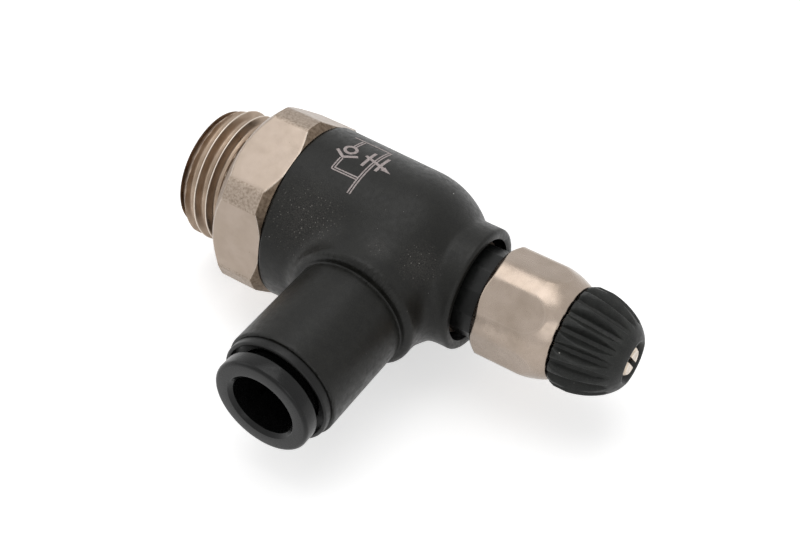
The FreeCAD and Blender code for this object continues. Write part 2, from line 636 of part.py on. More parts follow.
def lock_nut_friction_ring():
    """Nylon ring inside the lock nut that holds it where it is left."""
    half = FRICTION_RING_WIDTH / 2 - PRESS_GAP
    outer = FRICTION_RING_OUTER_R - PRESS_GAP
    return stem_tube(FRICTION_RING_X - half, FRICTION_RING_X + half, GLAND_BORE_R, outer)


def knob_outside():
    """Turned outline of the knob: chamfered rim, short band, crowned side, domed nose."""
    band_x = KNOB_START_X + KNOB_RIM_CHAMFER
    side_x = band_x + KNOB_BAND_LENGTH
    end_x = KNOB_START_X + KNOB_LENGTH
    side_mid_r = (KNOB_MAX_R + KNOB_NOSE_R) / 2 + KNOB_SIDE_CROWN
    nose_mid_r = (KNOB_NOSE_R + KNOB_FRONT_R) / 2 + KNOB_NOSE_CROWN
    outline = [(KNOB_START_X, 0), (KNOB_START_X, KNOB_RIM_R), (band_x, KNOB_MAX_R)]
    outline.append((side_x, KNOB_MAX_R))
    outline.append((KNOB_NOSE_X, KNOB_NOSE_R, (side_x + KNOB_NOSE_X) / 2, side_mid_r))
    outline.append((end_x, KNOB_FRONT_R, (KNOB_NOSE_X + end_x) / 2, nose_mid_r))
    outline.append((end_x, 0))
    return turned_on_stem(outline)


def knob_groove():
    """V groove between two ribs: deepest at the rim, running out at the nose."""
    start_r = KNOB_MAX_R - KNOB_GROOVE_DEPTH
    slope = (start_r - KNOB_NOSE_R) / (KNOB_NOSE_X - KNOB_START_X)
    reach = OVERRUN
    start = FreeCAD.Vector(KNOB_START_X - OVERRUN, 0, start_r + slope * OVERRUN)
    half = KNOB_GROOVE_WIDTH / 2 * (KNOB_GROOVE_DEPTH + reach) / KNOB_GROOVE_DEPTH
    lift = KNOB_GROOVE_DEPTH + reach
    corners = [start, start + FreeCAD.Vector(0, -half, lift)]
    corners.append(start + FreeCAD.Vector(0, half, lift))
    corners.append(start)
    length = KNOB_NOSE_X - KNOB_START_X + 2 * OVERRUN
    run = FreeCAD.Vector(length, 0, -slope * length)
    return Part.Face(Part.makePolygon(corners)).extrude(run)


def knob():
    """Black ribbed adjusting knob, flatted on the spindle, open at the front."""
    grooves = []
    for index in range(KNOB_RIB_COUNT):
        groove = knob_groove()
        groove.rotate(ORIGIN, STEM_AXIS, index * FULL_TURN / KNOB_RIB_COUNT)
        grooves.append(groove)
    drive_x = KNOB_DRIVE_START_X
    drive_r = KNOB_DRIVE_R + PRESS_GAP
    drive_flat = KNOB_DRIVE_ACROSS_FLATS + 2 * PRESS_GAP
    drive = drive_flats(drive_x - OVERRUN, KNOB_DRIVE_END_X + OVERRUN, drive_r, drive_flat)
    back = stem_rod(KNOB_START_X - OVERRUN, drive_x, SPINDLE_R + PRESS_GAP)
    front = stem_rod(KNOB_DRIVE_END_X, KNOB_START_X + KNOB_LENGTH + OVERRUN, KNOB_HOLE_R)
    return knob_outside().cut(grooves + [drive, back, front])


def body_outside():
    """Barrel, rounded shoulder and neck of the body as one turned shape."""
    drop = BODY_SHOULDER_R - NECK_R
    radius = (BODY_SHOULDER_LENGTH ** 2 + drop ** 2) / (2 * drop)
    half_sweep = math.asin(BODY_SHOULDER_LENGTH / radius) / 2
    mid_x = BODY_SHOULDER_X + radius * math.sin(half_sweep)
    mid_r = BODY_SHOULDER_R - radius * (1 - math.cos(half_sweep))
    neck_x = BODY_SHOULDER_X + BODY_SHOULDER_LENGTH
    edge = NECK_EDGE_ROUND
    edge_mid = edge * (1 - math.cos(math.pi / 4))
    outline = [(BODY_BASE_X, 0), (BODY_BASE_X, BODY_BASE_R), (BODY_SHOULDER_X, BODY_SHOULDER_R)]
    outline.append((neck_x, NECK_R, mid_x, mid_r))
    outline.append((NECK_END_X - edge, NECK_R))
    outline.append((NECK_END_X, NECK_R - edge, NECK_END_X - edge_mid, NECK_R - edge_mid))
    outline.append((NECK_END_X, 0))
    return turned_on_stem(outline)


def branch_outside():
    """Tube branch with the rounded boss at its root."""
    edge = BRANCH_ROOT_ROUND
    mid = edge * (1 - math.cos(math.pi / 4))
    top = BRANCH_ROOT_LENGTH
    root_r = BRANCH_R + BRANCH_ROOT_STEP
    outline = [(0, 0), (0, root_r), (top - edge, root_r)]
    outline.append((top, root_r - edge, top - mid, root_r - mid))
    outline.append((top, BRANCH_R))
    outline.append((BRANCH_LENGTH, BRANCH_R))
    outline.append((BRANCH_LENGTH, 0))
    return turned_on_branch(outline)


def body_inside():
    """Cutter for the stem's seat, the annular flow cavity and the neck's recess."""
    land_r = LAND_R + RUNNING_GAP
    outline = [(BODY_BASE_X - OVERRUN, 0), (BODY_BASE_X - OVERRUN, CAVITY_R)]
    outline.append((CAVITY_TAPER_X, CAVITY_R))
    outline.append((LAND_START_X - RUNNING_GAP, CAVITY_TAPER_R))
    outline.append((LAND_START_X - RUNNING_GAP, land_r))
    outline.append((NECK_RECESS_X, land_r))
    outline.append((NECK_RECESS_X, NECK_RECESS_R))
    outline.append((NECK_END_X + OVERRUN, NECK_RECESS_R))
    outline.append((NECK_END_X + OVERRUN, 0))
    return turned_on_stem(outline)


def branch_inside():
    """Cutter for the flow hole, the tube socket, the seal gland and the cartridge bore."""
    gland_r = TUBE_R + TUBE_ORING_SECTION + TUBE_ORING_GAP
    outline = [(SHANK_R, 0), (SHANK_R, BRANCH_FLOW_R), (TUBE_STOP, BRANCH_FLOW_R)]
    outline.append((TUBE_STOP, TUBE_BORE_R))
    outline.append((TUBE_ORING_START, TUBE_BORE_R))
    outline.append((TUBE_ORING_START, gland_r))
    outline.append((BACKING_RING_START, gland_r))
    outline.append((BACKING_RING_START, CARTRIDGE_R))
    outline.append((BRANCH_LENGTH + OVERRUN, CARTRIDGE_R))
    outline.append((BRANCH_LENGTH + OVERRUN, 0))
    return turned_on_branch(outline)


def swivel_body():
    """Black polymer banjo body with its tube branch."""
    body = body_outside().fuse(branch_outside())
    return body.cut([body_inside(), branch_inside()]).removeSplitter()


def tube_oring():
    """O-ring that seals on the pushed-in tube."""
    section = TUBE_ORING_SECTION
    middle = TUBE_ORING_START + section / 2 + TUBE_ORING_GAP
    centre = BRANCH_ORIGIN + BRANCH_AXIS * middle
    return Part.makeTorus(TUBE_R + section / 2, section / 2, centre, BRANCH_AXIS)


def tube_backing_ring():
    """Rigid ring that holds the tube seal in its gland."""
    end = BACKING_RING_START + BACKING_RING_THICKNESS
    return branch_tube(BACKING_RING_START, end, TUBE_BORE_R, CARTRIDGE_R - PRESS_GAP)


def branch_end_ring():
    """Ring pressed into the branch; its inner cone closes the collet on the tube."""
    cone = (CARTRIDGE_R - END_RING_BORE_R) / 2
    edge = END_RING_ROUND
    mid = edge * (1 - math.cos(math.pi / 4))
    floor = BRANCH_LENGTH + END_RING_FLOOR
    outline = [(END_RING_START, END_RING_BORE_R + cone), (END_RING_START, CARTRIDGE_R - PRESS_GAP)]
    outline.append((BRANCH_LENGTH, CARTRIDGE_R - PRESS_GAP))
    outline.append((BRANCH_LENGTH, END_RING_R))
    outline.append((END_RING_FACE - edge, END_RING_R))
    outline.append((END_RING_FACE, END_RING_R - edge, END_RING_FACE - mid, END_RING_R - mid))
    outline.append((END_RING_FACE, END_RING_RECESS_R))
    outline.append((floor, END_RING_RECESS_R))
    outline.append((floor, END_RING_BORE_R))
    outline.append((END_RING_START + cone, END_RING_BORE_R))
    return turned_on_branch(outline)


def collet_outside():
    """Turned outline of the collet: finger heads, barrel and rounded flange."""
    edge = COLLET_FLANGE_ROUND
    mid = edge * (1 - math.cos(math.pi / 4))
    back = COLLET_FLANGE_BACK
    front = COLLET_FLANGE_FRONT
    head_end = COLLET_START + COLLET_HEAD_LENGTH
    ramp_end = head_end + COLLET_HEAD_R - COLLET_BARREL_R
    outline = [(COLLET_START, 0), (COLLET_START, COLLET_HEAD_R), (head_end, COLLET_HEAD_R)]
    outline.append((ramp_end, COLLET_BARREL_R))
    outline.append((back, COLLET_BARREL_R))
    outline.append((back, COLLET_FLANGE_R))
    outline.append((front - edge, COLLET_FLANGE_R))
    outline.append((front, COLLET_FLANGE_R - edge, front - mid, COLLET_FLANGE_R - mid))
    outline.append((front, 0))
    return turned_on_branch(outline)


def collet_inside():
    """Cutter for the collet's tube bore, its flared mouth and the claw ring's groove."""
    flare = COLLET_MOUTH_FLARE
    front = COLLET_FLANGE_FRONT
    claw = COLLET_START + CLAW_RING_OFFSET
    groove_start = claw - PRESS_GAP
    groove_end = claw + CLAW_RING_THICKNESS + PRESS_GAP
    outline = [(COLLET_START - OVERRUN, 0), (COLLET_START - OVERRUN, TUBE_BORE_R)]
    outline.append((groove_start, TUBE_BORE_R))
    outline.append((groove_start, CLAW_RING_OUTER_R + PRESS_GAP))
    outline.append((groove_end, CLAW_RING_OUTER_R + PRESS_GAP))
    outline.append((groove_end, TUBE_BORE_R))
    outline.append((front - flare, TUBE_BORE_R))
    outline.append((front + OVERRUN, TUBE_BORE_R + flare + OVERRUN))
    outline.append((front + OVERRUN, 0))
    return turned_on_branch(outline)


def collet():
    """Release collet: slit fingers inside the branch and a flange that is pressed in."""
    slits = []
    for index in range(COLLET_SLIT_COUNT // 2):
        width = 2 * (COLLET_HEAD_R + OVERRUN)
        slit = Part.makeBox(width, COLLET_SLIT_LENGTH + OVERRUN, COLLET_SLIT_WIDTH)
        start = COLLET_START + COLLET_SLIT_LENGTH
        slit.translate(FreeCAD.Vector(BRANCH_X - width / 2, -start, -COLLET_SLIT_WIDTH / 2))
        turn = COLLET_SLIT_TURN_DEG + index * FULL_TURN / COLLET_SLIT_COUNT
        slit.rotate(BRANCH_ORIGIN, BRANCH_AXIS, turn)
        slits.append(slit)
    return collet_outside().cut([collet_inside()] + slits)


def grip_ring():
    """Thin stainless ring of claws held in the collet's fingers."""
    start = COLLET_START + CLAW_RING_OFFSET
    ring = branch_tube(start, start + CLAW_RING_THICKNESS, CLAW_TIP_R, CLAW_RING_OUTER_R)
    notches = []
    for index in range(CLAW_NOTCH_COUNT):
        width = CLAW_NOTCH_WIDTH
        notch = Part.makeBox(CLAW_NOTCH_R, CLAW_RING_THICKNESS + OVERRUN, width)
        corner = FreeCAD.Vector(0, -OVERRUN / 2 - CLAW_RING_THICKNESS, -width / 2)
        notch.translate(BRANCH_ORIGIN + BRANCH_AXIS * start + corner)
        notch.rotate(BRANCH_ORIGIN, BRANCH_AXIS, index * FULL_TURN / CLAW_NOTCH_COUNT)
        notches.append(notch)
    return ring.cut(notches)


NODES = [
    threaded_stem,
    port_face_seal,
    lower_stem_oring,
    upper_stem_oring,
    check_lip_seal,
    throttle_seat,
    stem_retaining_ring,
    bonnet_sleeve,
    adjusting_spindle,
    spindle_stop_ring,
    spindle_oring,
    lock_nut,
    lock_nut_friction_ring,
    knob,
    swivel_body,
    branch_end_ring,
    tube_oring,
    tube_backing_ring,
    grip_ring,
    collet,
]

os.makedirs("parts", exist_ok=True)
for make_node in NODES:
    shape = make_node()
    solids = shape.Solids
    if len(solids) == 1:
        shape = solids[0]
    shape.exportStep("parts/" + make_node.__name__ + ".step")
    print(make_node.__name__, len(solids), "solid", round(shape.Volume, 3), "mm3")
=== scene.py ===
"""Looks of a banjo flow control valve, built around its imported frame.

The stem lies along +X, the tube branch points along -Y, and the valve lies on its side with +Z up.
Shapes are worked out in millimetres and stored in metres.
"""

from __future__ import annotations

import logging
import math
from dataclasses import dataclass, field
from enum import Enum
from functools import cached_property
from typing import Callable, Iterable, Sequence

import bmesh
import bpy
import numpy as np
from mathutils import Matrix, Vector


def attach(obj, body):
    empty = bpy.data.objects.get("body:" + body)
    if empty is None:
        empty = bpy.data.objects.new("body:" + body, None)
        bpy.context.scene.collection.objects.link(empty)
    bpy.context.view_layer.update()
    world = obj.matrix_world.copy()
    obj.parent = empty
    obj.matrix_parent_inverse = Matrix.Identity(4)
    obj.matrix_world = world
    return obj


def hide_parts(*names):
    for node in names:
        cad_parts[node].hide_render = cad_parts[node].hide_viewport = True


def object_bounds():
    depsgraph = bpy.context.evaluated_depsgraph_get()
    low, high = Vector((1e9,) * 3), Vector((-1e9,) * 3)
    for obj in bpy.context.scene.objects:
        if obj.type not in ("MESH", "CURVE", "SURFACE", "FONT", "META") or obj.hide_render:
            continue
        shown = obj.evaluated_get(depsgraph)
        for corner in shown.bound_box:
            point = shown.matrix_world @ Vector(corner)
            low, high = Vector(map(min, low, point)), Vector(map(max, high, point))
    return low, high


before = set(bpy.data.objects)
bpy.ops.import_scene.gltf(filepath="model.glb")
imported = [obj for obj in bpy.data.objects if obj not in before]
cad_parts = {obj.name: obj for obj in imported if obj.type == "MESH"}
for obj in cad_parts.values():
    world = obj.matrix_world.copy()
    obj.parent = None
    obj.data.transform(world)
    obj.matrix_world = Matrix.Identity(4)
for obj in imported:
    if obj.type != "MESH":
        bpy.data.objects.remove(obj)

log = logging.getLogger("flow_control_valve")

CAD_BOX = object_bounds()
MM = 0.001
BRANCH_X = 15.7
SPIN_SECTORS = 12
Corner = tuple[float, float]
Fillet = tuple[float, float, float]
Colour = tuple[float, float, float]


class TurningAxis(Enum):
    """The two axes that parts of the valve are turned about."""

    STEM = "stem"
    BRANCH = "branch"


# ---------------------------------------------------------------- outlines


def rounded(corners: Sequence[Fillet], segments: int = 5) -> list[Corner]:
    """Rounds the corners of a closed outline.

    Args:
        corners: Distance along the axis, radius, and rounding of each corner.
        segments: Facets of each rounding.

    Returns:
        The outline's points in order.
    """
    points: list[Corner] = []
    for index, (along, radius, fillet) in enumerate(corners):
        corner = Vector((along, radius))
        if fillet <= 0:
            points.append((along, radius))
            continue
        before = Vector(corners[index - 1][:2])
        after = Vector(corners[(index + 1) % len(corners)][:2])
        back = (before - corner).normalized()
        ahead = (after - corner).normalized()
        half = back.angle(ahead) / 2
        centre = corner + (back + ahead).normalized() * (fillet / math.sin(half))
        start = corner + back * (fillet / math.tan(half)) - centre
        end = corner + ahead * (fillet / math.tan(half)) - centre
        sweep = start.angle_signed(end)
        for step in range(segments + 1):
            turn = Matrix.Rotation(-sweep * step / segments, 2)
            spot = centre + turn @ start
            points.append((spot.x, spot.y))
    return points


def arc_through(start: Corner, end: Corner, middle: Corner, count: int) -> list[Corner]:
    """Points of a curve from start to end that passes through middle.

    Args:
        start: First point, which is left out of the result.
        end: Last point, which is included.
        middle: Point half-way along the curve.
        count: Number of points returned.

    Returns:
        Points after start, up to end.
    """
    control = (2 * middle[0] - (start[0] + end[0]) / 2, 2 * middle[1] - (start[1] + end[1]) / 2)
    points = []
    for step in range(1, count + 1):
        t = step / count
        keep, bend, reach = (1 - t) ** 2, 2 * t * (1 - t), t * t
        points.append(
            (
                keep * start[0] + bend * control[0] + reach * end[0],
                keep * start[1] + bend * control[1] + reach * end[1],
            )
        )
    return points


def dense(outline: Sequence[Corner], step: float, closed: bool = True) -> list[Corner]:
    """Divides the long runs of an outline.

    Args:
        outline: Points of the outline.
        step: Longest run that is left undivided.
        closed: Whether the last point joins the first.

    Returns:
        The outline with its added points.
    """
    points: list[Corner] = []
    last = len(outline) if closed else len(outline) - 1
    for index in range(last):
        a = Vector(outline[index])
        b = Vector(outline[(index + 1) % len(outline)])
        parts = max(1, math.ceil((b - a).length / step))
        for part in range(parts):
            spot = a.lerp(b, part / parts)
            points.append((spot.x, spot.y))
    if not closed:
        points.append(tuple(outline[-1]))
    return points


def soft_min(a: float, b: float, blend: float) -> float:
    """Smaller of two values with a rounded hand-over of the given width."""
    overlap = max(blend - abs(a - b), 0.0) / blend
    return min(a, b) - overlap * overlap * blend / 4


def soft_min_many(a: np.ndarray, b: np.ndarray, blend: float) -> np.ndarray:
    """Smaller of two arrays with a rounded hand-over of the given width."""
    overlap = np.maximum(blend - np.abs(a - b), 0.0) / blend
    return np.minimum(a, b) - overlap * overlap * blend / 4


def outline_distance(points: np.ndarray, outline: Sequence[Corner]) -> np.ndarray:
    """Signed distance of points to a closed outline, negative inside.

    Args:
        points: Array of along and radius, one row a point.
        outline: Corners of the closed outline.

    Returns:
        One distance a point.
    """
    nearest = np.full(len(points), 1e9)
    inside = np.zeros(len(points), dtype=bool)
    corners = np.array(outline)
    for a, b in zip(corners, np.roll(corners, -1, axis=0)):
        edge = b - a
        length = float(edge @ edge)
        if length < 1e-12:
            continue
        t = np.clip((points - a) @ edge / length, 0.0, 1.0)
        nearest = np.minimum(nearest, np.linalg.norm(points - a - t[:, None] * edge, axis=1))
        crosses = (a[1] > points[:, 1]) != (b[1] > points[:, 1])
        if edge[1] != 0:
            inside ^= crosses & (points[:, 0] < a[0] + edge[0] * (points[:, 1] - a[1]) / edge[1])
    return np.where(inside, -nearest, nearest)


# ---------------------------------------------------------------- mesh tools


def store(bm: bmesh.types.BMesh, name: str, sharp_deg: float = 35.0) -> bpy.types.Object:
    """Turns a mesh in millimetres into a finished object in metres.

    Args:
        bm: The mesh, freed here.
        name: Name of the piece.
        sharp_deg: Edges that turn more than this stay crisp.

    Returns:
        The object, at the origin, unturned and unscaled.
    """
    bmesh.ops.scale(bm, vec=(MM, MM, MM), verts=bm.verts)
    mesh = bpy.data.meshes.new(name)
    bm.to_mesh(mesh)
    bm.free()
    mesh.shade_smooth()
    mesh.set_sharp_from_angle(angle=math.radians(sharp_deg))
    piece = bpy.data.objects.new(name, mesh)
    bpy.context.scene.collection.objects.link(piece)
    return piece


def turned(outline: Sequence[Corner], axis: TurningAxis, steps: int) -> bmesh.types.BMesh:
    """Spins a closed outline into a ring-shaped solid.

    Args:
        outline: Distance along the axis and radius of each corner.
        axis: The stem's axis or the branch's.
        steps: Facets of the full turn.

    Returns:
        The mesh in millimetres, with its normals outward.
    """
    bm = bmesh.new()
    if axis is TurningAxis.STEM:
        places = [(along, radius, 0) for along, radius in outline]
        about = {"cent": (0, 0, 0), "axis": (1, 0, 0)}
    else:
        places = [(BRANCH_X + radius, -along, 0) for along, radius in outline]
        about = {"cent": (BRANCH_X, 0, 0), "axis": (0, -1, 0)}
    verts = [bm.verts.new(place) for place in places]
    edges = [bm.edges.new((verts[i - 1], verts[i])) for i in range(len(verts))]
    sector = 2 * math.pi / SPIN_SECTORS
    bmesh.ops.spin(bm, geom=verts + edges, angle=sector, steps=steps // SPIN_SECTORS, **about)
    whole = bm.verts[:] + bm.edges[:] + bm.faces[:]
    rest = SPIN_SECTORS - 1
    bmesh.ops.spin(bm, geom=whole, angle=sector * rest, steps=rest, use_duplicate=True, **about)
    bmesh.ops.remove_doubles(bm, verts=bm.verts, dist=1e-5)
    bmesh.ops.recalc_face_normals(bm, faces=bm.faces)
    return bm


def cad_copy(node: str) -> bmesh.types.BMesh:
    """A merged copy of a CAD node's mesh, in millimetres."""
    bm = bmesh.new()
    bm.from_mesh(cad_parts[node].data)
    bmesh.ops.scale(bm, vec=(1 / MM, 1 / MM, 1 / MM), verts=bm.verts)
    bmesh.ops.remove_doubles(bm, verts=bm.verts, dist=1e-4)
    return bm


def applied(piece: bpy.types.Object) -> bpy.types.Mesh:
    """The piece's mesh with its modifiers worked in, as a new mesh."""
    graph = bpy.context.evaluated_depsgraph_get()
    return bpy.data.meshes.new_from_object(piece.evaluated_get(graph))


def mark_wear_and_highlight(piece: bpy.types.Object, wear_and_highlight_at: Callable[[Vector], float]) -> None:
    """Writes each point's abrasion and painted highlight into the attribute that the metal and
    polymer finishes read.

    Args:
        piece: The finished piece.
        wear_and_highlight_at: Abrasion and painted highlight from 0 to 1 at a point in millimetres.
    """
    mesh = piece.data
    values = [min(1.0, max(0.0, wear_and_highlight_at(vert.co / MM))) for vert in mesh.vertices]
    # The attribute holds abraded edges and painted highlights: bright nickel edges and thread
    # crests, and the body's painted sheen patches.
    layer = mesh.attributes.new("wear_and_highlight", "FLOAT", "POINT")
    layer.data.foreach_set("value", values)


# ---------------------------------------------------------------- finishes


class Wiring:
    """Adds and joins the shader nodes of one material."""

    def __init__(self, name: str) -> None:
        """Starts an empty node tree with a Principled shader at its end."""
        self.material = bpy.data.materials.new(name)
        self.material.use_nodes = True
        self.tree = self.material.node_tree
        self.tree.nodes.clear()
        self.shader = self.add("ShaderNodeBsdfPrincipled")
        output = self.add("ShaderNodeOutputMaterial")
        self.join(self.shader.outputs["BSDF"], output.inputs["Surface"])
        self.place = self.add("ShaderNodeTexCoord").outputs["Object"]

    def add(self, kind: str, **inputs: float | Colour) -> bpy.types.ShaderNode:
        """A new node with the named input values set."""
        node = self.tree.nodes.new(kind)
        for name, value in inputs.items():
            node.inputs[name.replace("_", " ")].default_value = value
        return node

    def join(self, source: bpy.types.NodeSocket, target: bpy.types.NodeSocket) -> None:
        """Links two sockets."""
        self.tree.links.new(source, target)

    def scaled(self, stretch: tuple[float, float, float]) -> bpy.types.NodeSocket:
        """Object coordinates stretched along each axis."""
        mapping = self.add("ShaderNodeMapping", Scale=stretch)
        self.join(self.place, mapping.inputs["Vector"])
        return mapping.outputs["Vector"]

    def noise(
        self, size_mm: float, detail: float = 3.0, stretch: tuple[float, float, float] = (1, 1, 1)
    ) -> bpy.types.NodeSocket:
        """Smooth noise whose blotches are about the given size."""
        node = self.add("ShaderNodeTexNoise", Scale=1 / (size_mm * MM), Detail=detail)
        self.join(self.scaled(stretch), node.inputs["Vector"])
        return node.outputs["Fac"]

    def dots(self, spacing_mm: float, radius: float, share: float) -> bpy.types.NodeSocket:
        """Sparse round specks.

        Args:
            spacing_mm: Distance between possible places of a speck.
            radius: Radius of a speck as a share of the spacing.
            share: Share of the places that hold a speck.

        Returns:
            1 on a speck and 0 off it.
        """
        cells = self.add("ShaderNodeTexVoronoi", Scale=1 / (spacing_mm * MM))
        self.join(self.place, cells.inputs["Vector"])
        near = self.ramp(cells.outputs["Distance"], radius, radius * 0.55)
        chosen = self.add("ShaderNodeSeparateColor")
        self.join(cells.outputs["Color"], chosen.inputs["Color"])
        kept = self.ramp(chosen.outputs["Red"], share, share * 0.98)
        return self.math("MULTIPLY", near, kept)

    def ramp(
        self,
        value: bpy.types.NodeSocket,
        start: float,
        end: float,
        low: float = 0.0,
        high: float = 1.0,
    ) -> bpy.types.NodeSocket:
        """Maps value from start..end onto low..high, clamped."""
        node = self.add("ShaderNodeMapRange")
        node.clamp = True
        if start > end:
            start, end, low, high = end, start, high, low
        node.inputs["From Min"].default_value = start
        node.inputs["From Max"].default_value = end
        node.inputs["To Min"].default_value = low
        node.inputs["To Max"].default_value = high
        self.join(value, node.inputs["Value"])
        return node.outputs["Result"]

    def math(
        self, operation: str, a: bpy.types.NodeSocket, b: bpy.types.NodeSocket | float
    ) -> bpy.types.NodeSocket:
        """One arithmetic step on a value."""
        node = self.add("ShaderNodeMath")
        node.operation = operation
        self.join(a, node.inputs[0])
        if isinstance(b, (int, float)):
            node.inputs[1].default_value = b
        else:
            self.join(b, node.inputs[1])
        return node.outputs["Value"]

    def mix(
        self,
        share: bpy.types.NodeSocket,
        a: bpy.types.NodeSocket | Colour,
        b: bpy.types.NodeSocket | Colour,
    ) -> bpy.types.NodeSocket:
        """Blend of two colours."""
        node = self.tree.nodes.new("ShaderNodeMix")
        node.data_type = "RGBA"
        self.join(share, node.inputs["Factor"])
        for socket, colour in ((node.inputs[6], a), (node.inputs[7], b)):
            if isinstance(colour, tuple):
                socket.default_value = (*colour, 1.0)
            else:
                self.join(colour, socket)
        return node.outputs[2]

    def attribute(self, name: str) -> bpy.types.NodeSocket:
        """A value stored on the mesh's points."""
        node = self.add("ShaderNodeAttribute")
        node.attribute_name = name
        return node.outputs["Fac"]

    def bump(self, heights: Iterable[tuple[bpy.types.NodeSocket, float]]) -> None:
        """Stacks bump layers on the shader; each has its height in millimetres."""
        normal = None
        for height, depth_mm in heights:
            node = self.add("ShaderNodeBump", Strength=1.0, Distance=depth_mm * MM)
            self.join(height, node.inputs["Height"])
            if normal is not None:
                self.join(normal, node.inputs["Normal"])
            normal = node.outputs["Normal"]
        self.join(normal, self.shader.inputs["Normal"])


def linear(red: int, green: int, blue: int) -> Colour:
    """Linear colour of a display colour given from 0 to 255."""

    def channel(value: int) -> float:
        """One channel, display to linear."""
        share = value / 255
        return share / 12.92 if share <= 0.04045 else ((share + 0.055) / 1.055) ** 2.4

    return (channel(red), channel(green), channel(blue))


@dataclass(frozen=True)
class MouldedPolymer:
    """Matt black moulded polymer: mottled, finely grained, with a few dust specks, painted glint
    specks, and optional painted sheen patches.
    """

    name: str
    dark: Colour
    light: Colour
    rough: float = 0.5
    rough_spread: float = 0.1
    grain_mm: float = 0.09
    grain_depth_mm: float = 0.004
    wave_depth_mm: float = 0.006
    # Share of places holding a dust speck, also used for the painted glint specks.
    dust_and_glint_share: float = 0.02
    # Whether painted sheen patches and glints are laid where highlights fall.
    has_painted_sheen: bool = False
    shine: float = 0.25

    def build(self) -> bpy.types.Material:
        """The polymer's material."""
        w = Wiring(self.name)
        mottle = w.ramp(w.noise(0.9, 4.0), 0.35, 0.7)
        speckle = w.ramp(w.noise(self.grain_mm, 2.0), 0.45, 0.75)
        colour = w.mix(mottle, self.dark, self.light)
        pale = tuple(min(1.0, c * 2.8) for c in self.light)
        colour = w.mix(w.math("MULTIPLY", speckle, 0.35), colour, pale)
        # Painted sheen: pale patches and glint specks where highlights fall on the grain.
        if self.has_painted_sheen:
            sheen_mask = w.attribute("wear_and_highlight")
            sheen_patch = w.math("MULTIPLY", sheen_mask, w.ramp(w.noise(0.1, 3.0), 0.38, 0.7))
            colour = w.mix(w.math("MULTIPLY", sheen_patch, 0.3), colour, linear(120, 116, 112))
            # Painted glints: pale specks inside the sheen patches.
            painted_glints = w.math("MULTIPLY", sheen_mask, w.dots(0.26, 0.26, 0.4))
            colour = w.mix(w.math("MULTIPLY", painted_glints, 0.75), colour, linear(150, 146, 140))
        dust = w.dots(0.9, 0.085, self.dust_and_glint_share)
        # Painted glints: fine pale specks standing in for light catching the grain; the coarser
        # dots above are dust.
        fine = w.dots(0.37, 0.1, self.dust_and_glint_share)
        colour = w.mix(w.math("MULTIPLY", dust, 0.75), colour, linear(205, 203, 198))
        colour = w.mix(w.math("MULTIPLY", fine, 0.5), colour, linear(170, 168, 164))
        w.join(colour, w.shader.inputs["Base Color"])
        spread = self.rough_spread
        rough = w.ramp(w.noise(0.5, 3.0), 0.3, 0.75, self.rough - spread, self.rough + spread)
        w.join(rough, w.shader.inputs["Roughness"])
        w.shader.inputs["Specular IOR Level"].default_value = self.shine
        fine_grain = w.noise(self.grain_mm, 2.0)
        w.bump([(w.noise(1.8, 2.0), self.wave_depth_mm), (fine_grain, self.grain_depth_mm)])
        return w.material


@dataclass(frozen=True)
class NickelPlate:
    """Warm nickel plating over machined brass, with darker pits, and its edges brightened as
    abrasion and painted highlights.
    """

    name: str
    base: Colour
    stain: Colour
    # Colour of abraded edges and painted edge highlights.
    edge: Colour
    rough: float = 0.3
    tool_stretch: tuple[float, float, float] = (1.0, 1.0, 1.0)
    tool_mm: float = 0.05
    tool_depth_mm: float = 0.0015
    stain_mm: float = 2.2
    pit_share: float = 0.05

    def build(self) -> bpy.types.Material:
        """The plating's material."""
        w = Wiring(self.name)
        cloud = w.ramp(w.noise(self.stain_mm, 4.0), 0.38, 0.72)
        tooling = w.noise(self.tool_mm, 2.0, self.tool_stretch)
        colour = w.mix(cloud, self.base, self.stain)
        shade = w.ramp(tooling, 0.35, 0.7)
        colour = w.mix(w.math("MULTIPLY", shade, 0.22), colour, self.stain)
        pits = w.dots(0.55, 0.12, self.pit_share)
        colour = w.mix(w.math("MULTIPLY", pits, 0.55), colour, linear(92, 80, 68))
        # Painted highlight: abraded edges and thread crests brightened towards the edge colour.
        bright = w.ramp(w.attribute("wear_and_highlight"), 0.1, 1.0)
        colour = w.mix(bright, colour, self.edge)
        w.join(colour, w.shader.inputs["Base Color"])
        rough = w.ramp(w.noise(0.8, 4.0), 0.3, 0.75, self.rough - 0.07, self.rough + 0.12)
        w.join(rough, w.shader.inputs["Roughness"])
        w.shader.inputs["Metallic"].default_value = 1.0
        w.bump(
            [
                (w.noise(1.2, 3.0), 0.006),
                (tooling, self.tool_depth_mm),
                (w.noise(0.12, 2.0), 0.0018),
            ]
        )
        return w.material


@dataclass(frozen=True)
class PlainMetal:
    """Turned brass or spring steel of the small inner parts, with fine tool lines."""

    name: str
    base: Colour
    shade: Colour
    rough: float

    def build(self) -> bpy.types.Material:
        """The metal's material."""
        w = Wiring(self.name)
        lines = w.noise(0.05, 2.0, (1.0, 0.06, 0.06))
        colour = w.mix(w.ramp(lines, 0.35, 0.7), self.base, self.shade)
        w.join(colour, w.shader.inputs["Base Color"])
        rough = w.ramp(w.noise(0.4, 3.0), 0.3, 0.7, self.rough - 0.06, self.rough + 0.1)
        w.join(rough, w.shader.inputs["Roughness"])
        w.shader.inputs["Metallic"].default_value = 1.0
        w.bump([(lines, 0.002)])
        return w.material


@dataclass(frozen=True)
class Elastomer:
    """Seal rubber: dull, with a faint bloom and a fine skin."""

    name: str
    dark: Colour
    bloom: Colour

    def build(self) -> bpy.types.Material:
        """The rubber's material."""
        w = Wiring(self.name)
        colour = w.mix(w.ramp(w.noise(0.6, 4.0), 0.4, 0.75), self.dark, self.bloom)
        w.join(colour, w.shader.inputs["Base Color"])
        w.join(w.ramp(w.noise(0.3, 3.0), 0.3, 0.7, 0.48, 0.66), w.shader.inputs["Roughness"])
        w.shader.inputs["Specular IOR Level"].default_value = 0.3
        w.bump([(w.noise(0.06, 2.0), 0.002)])
        return w.material


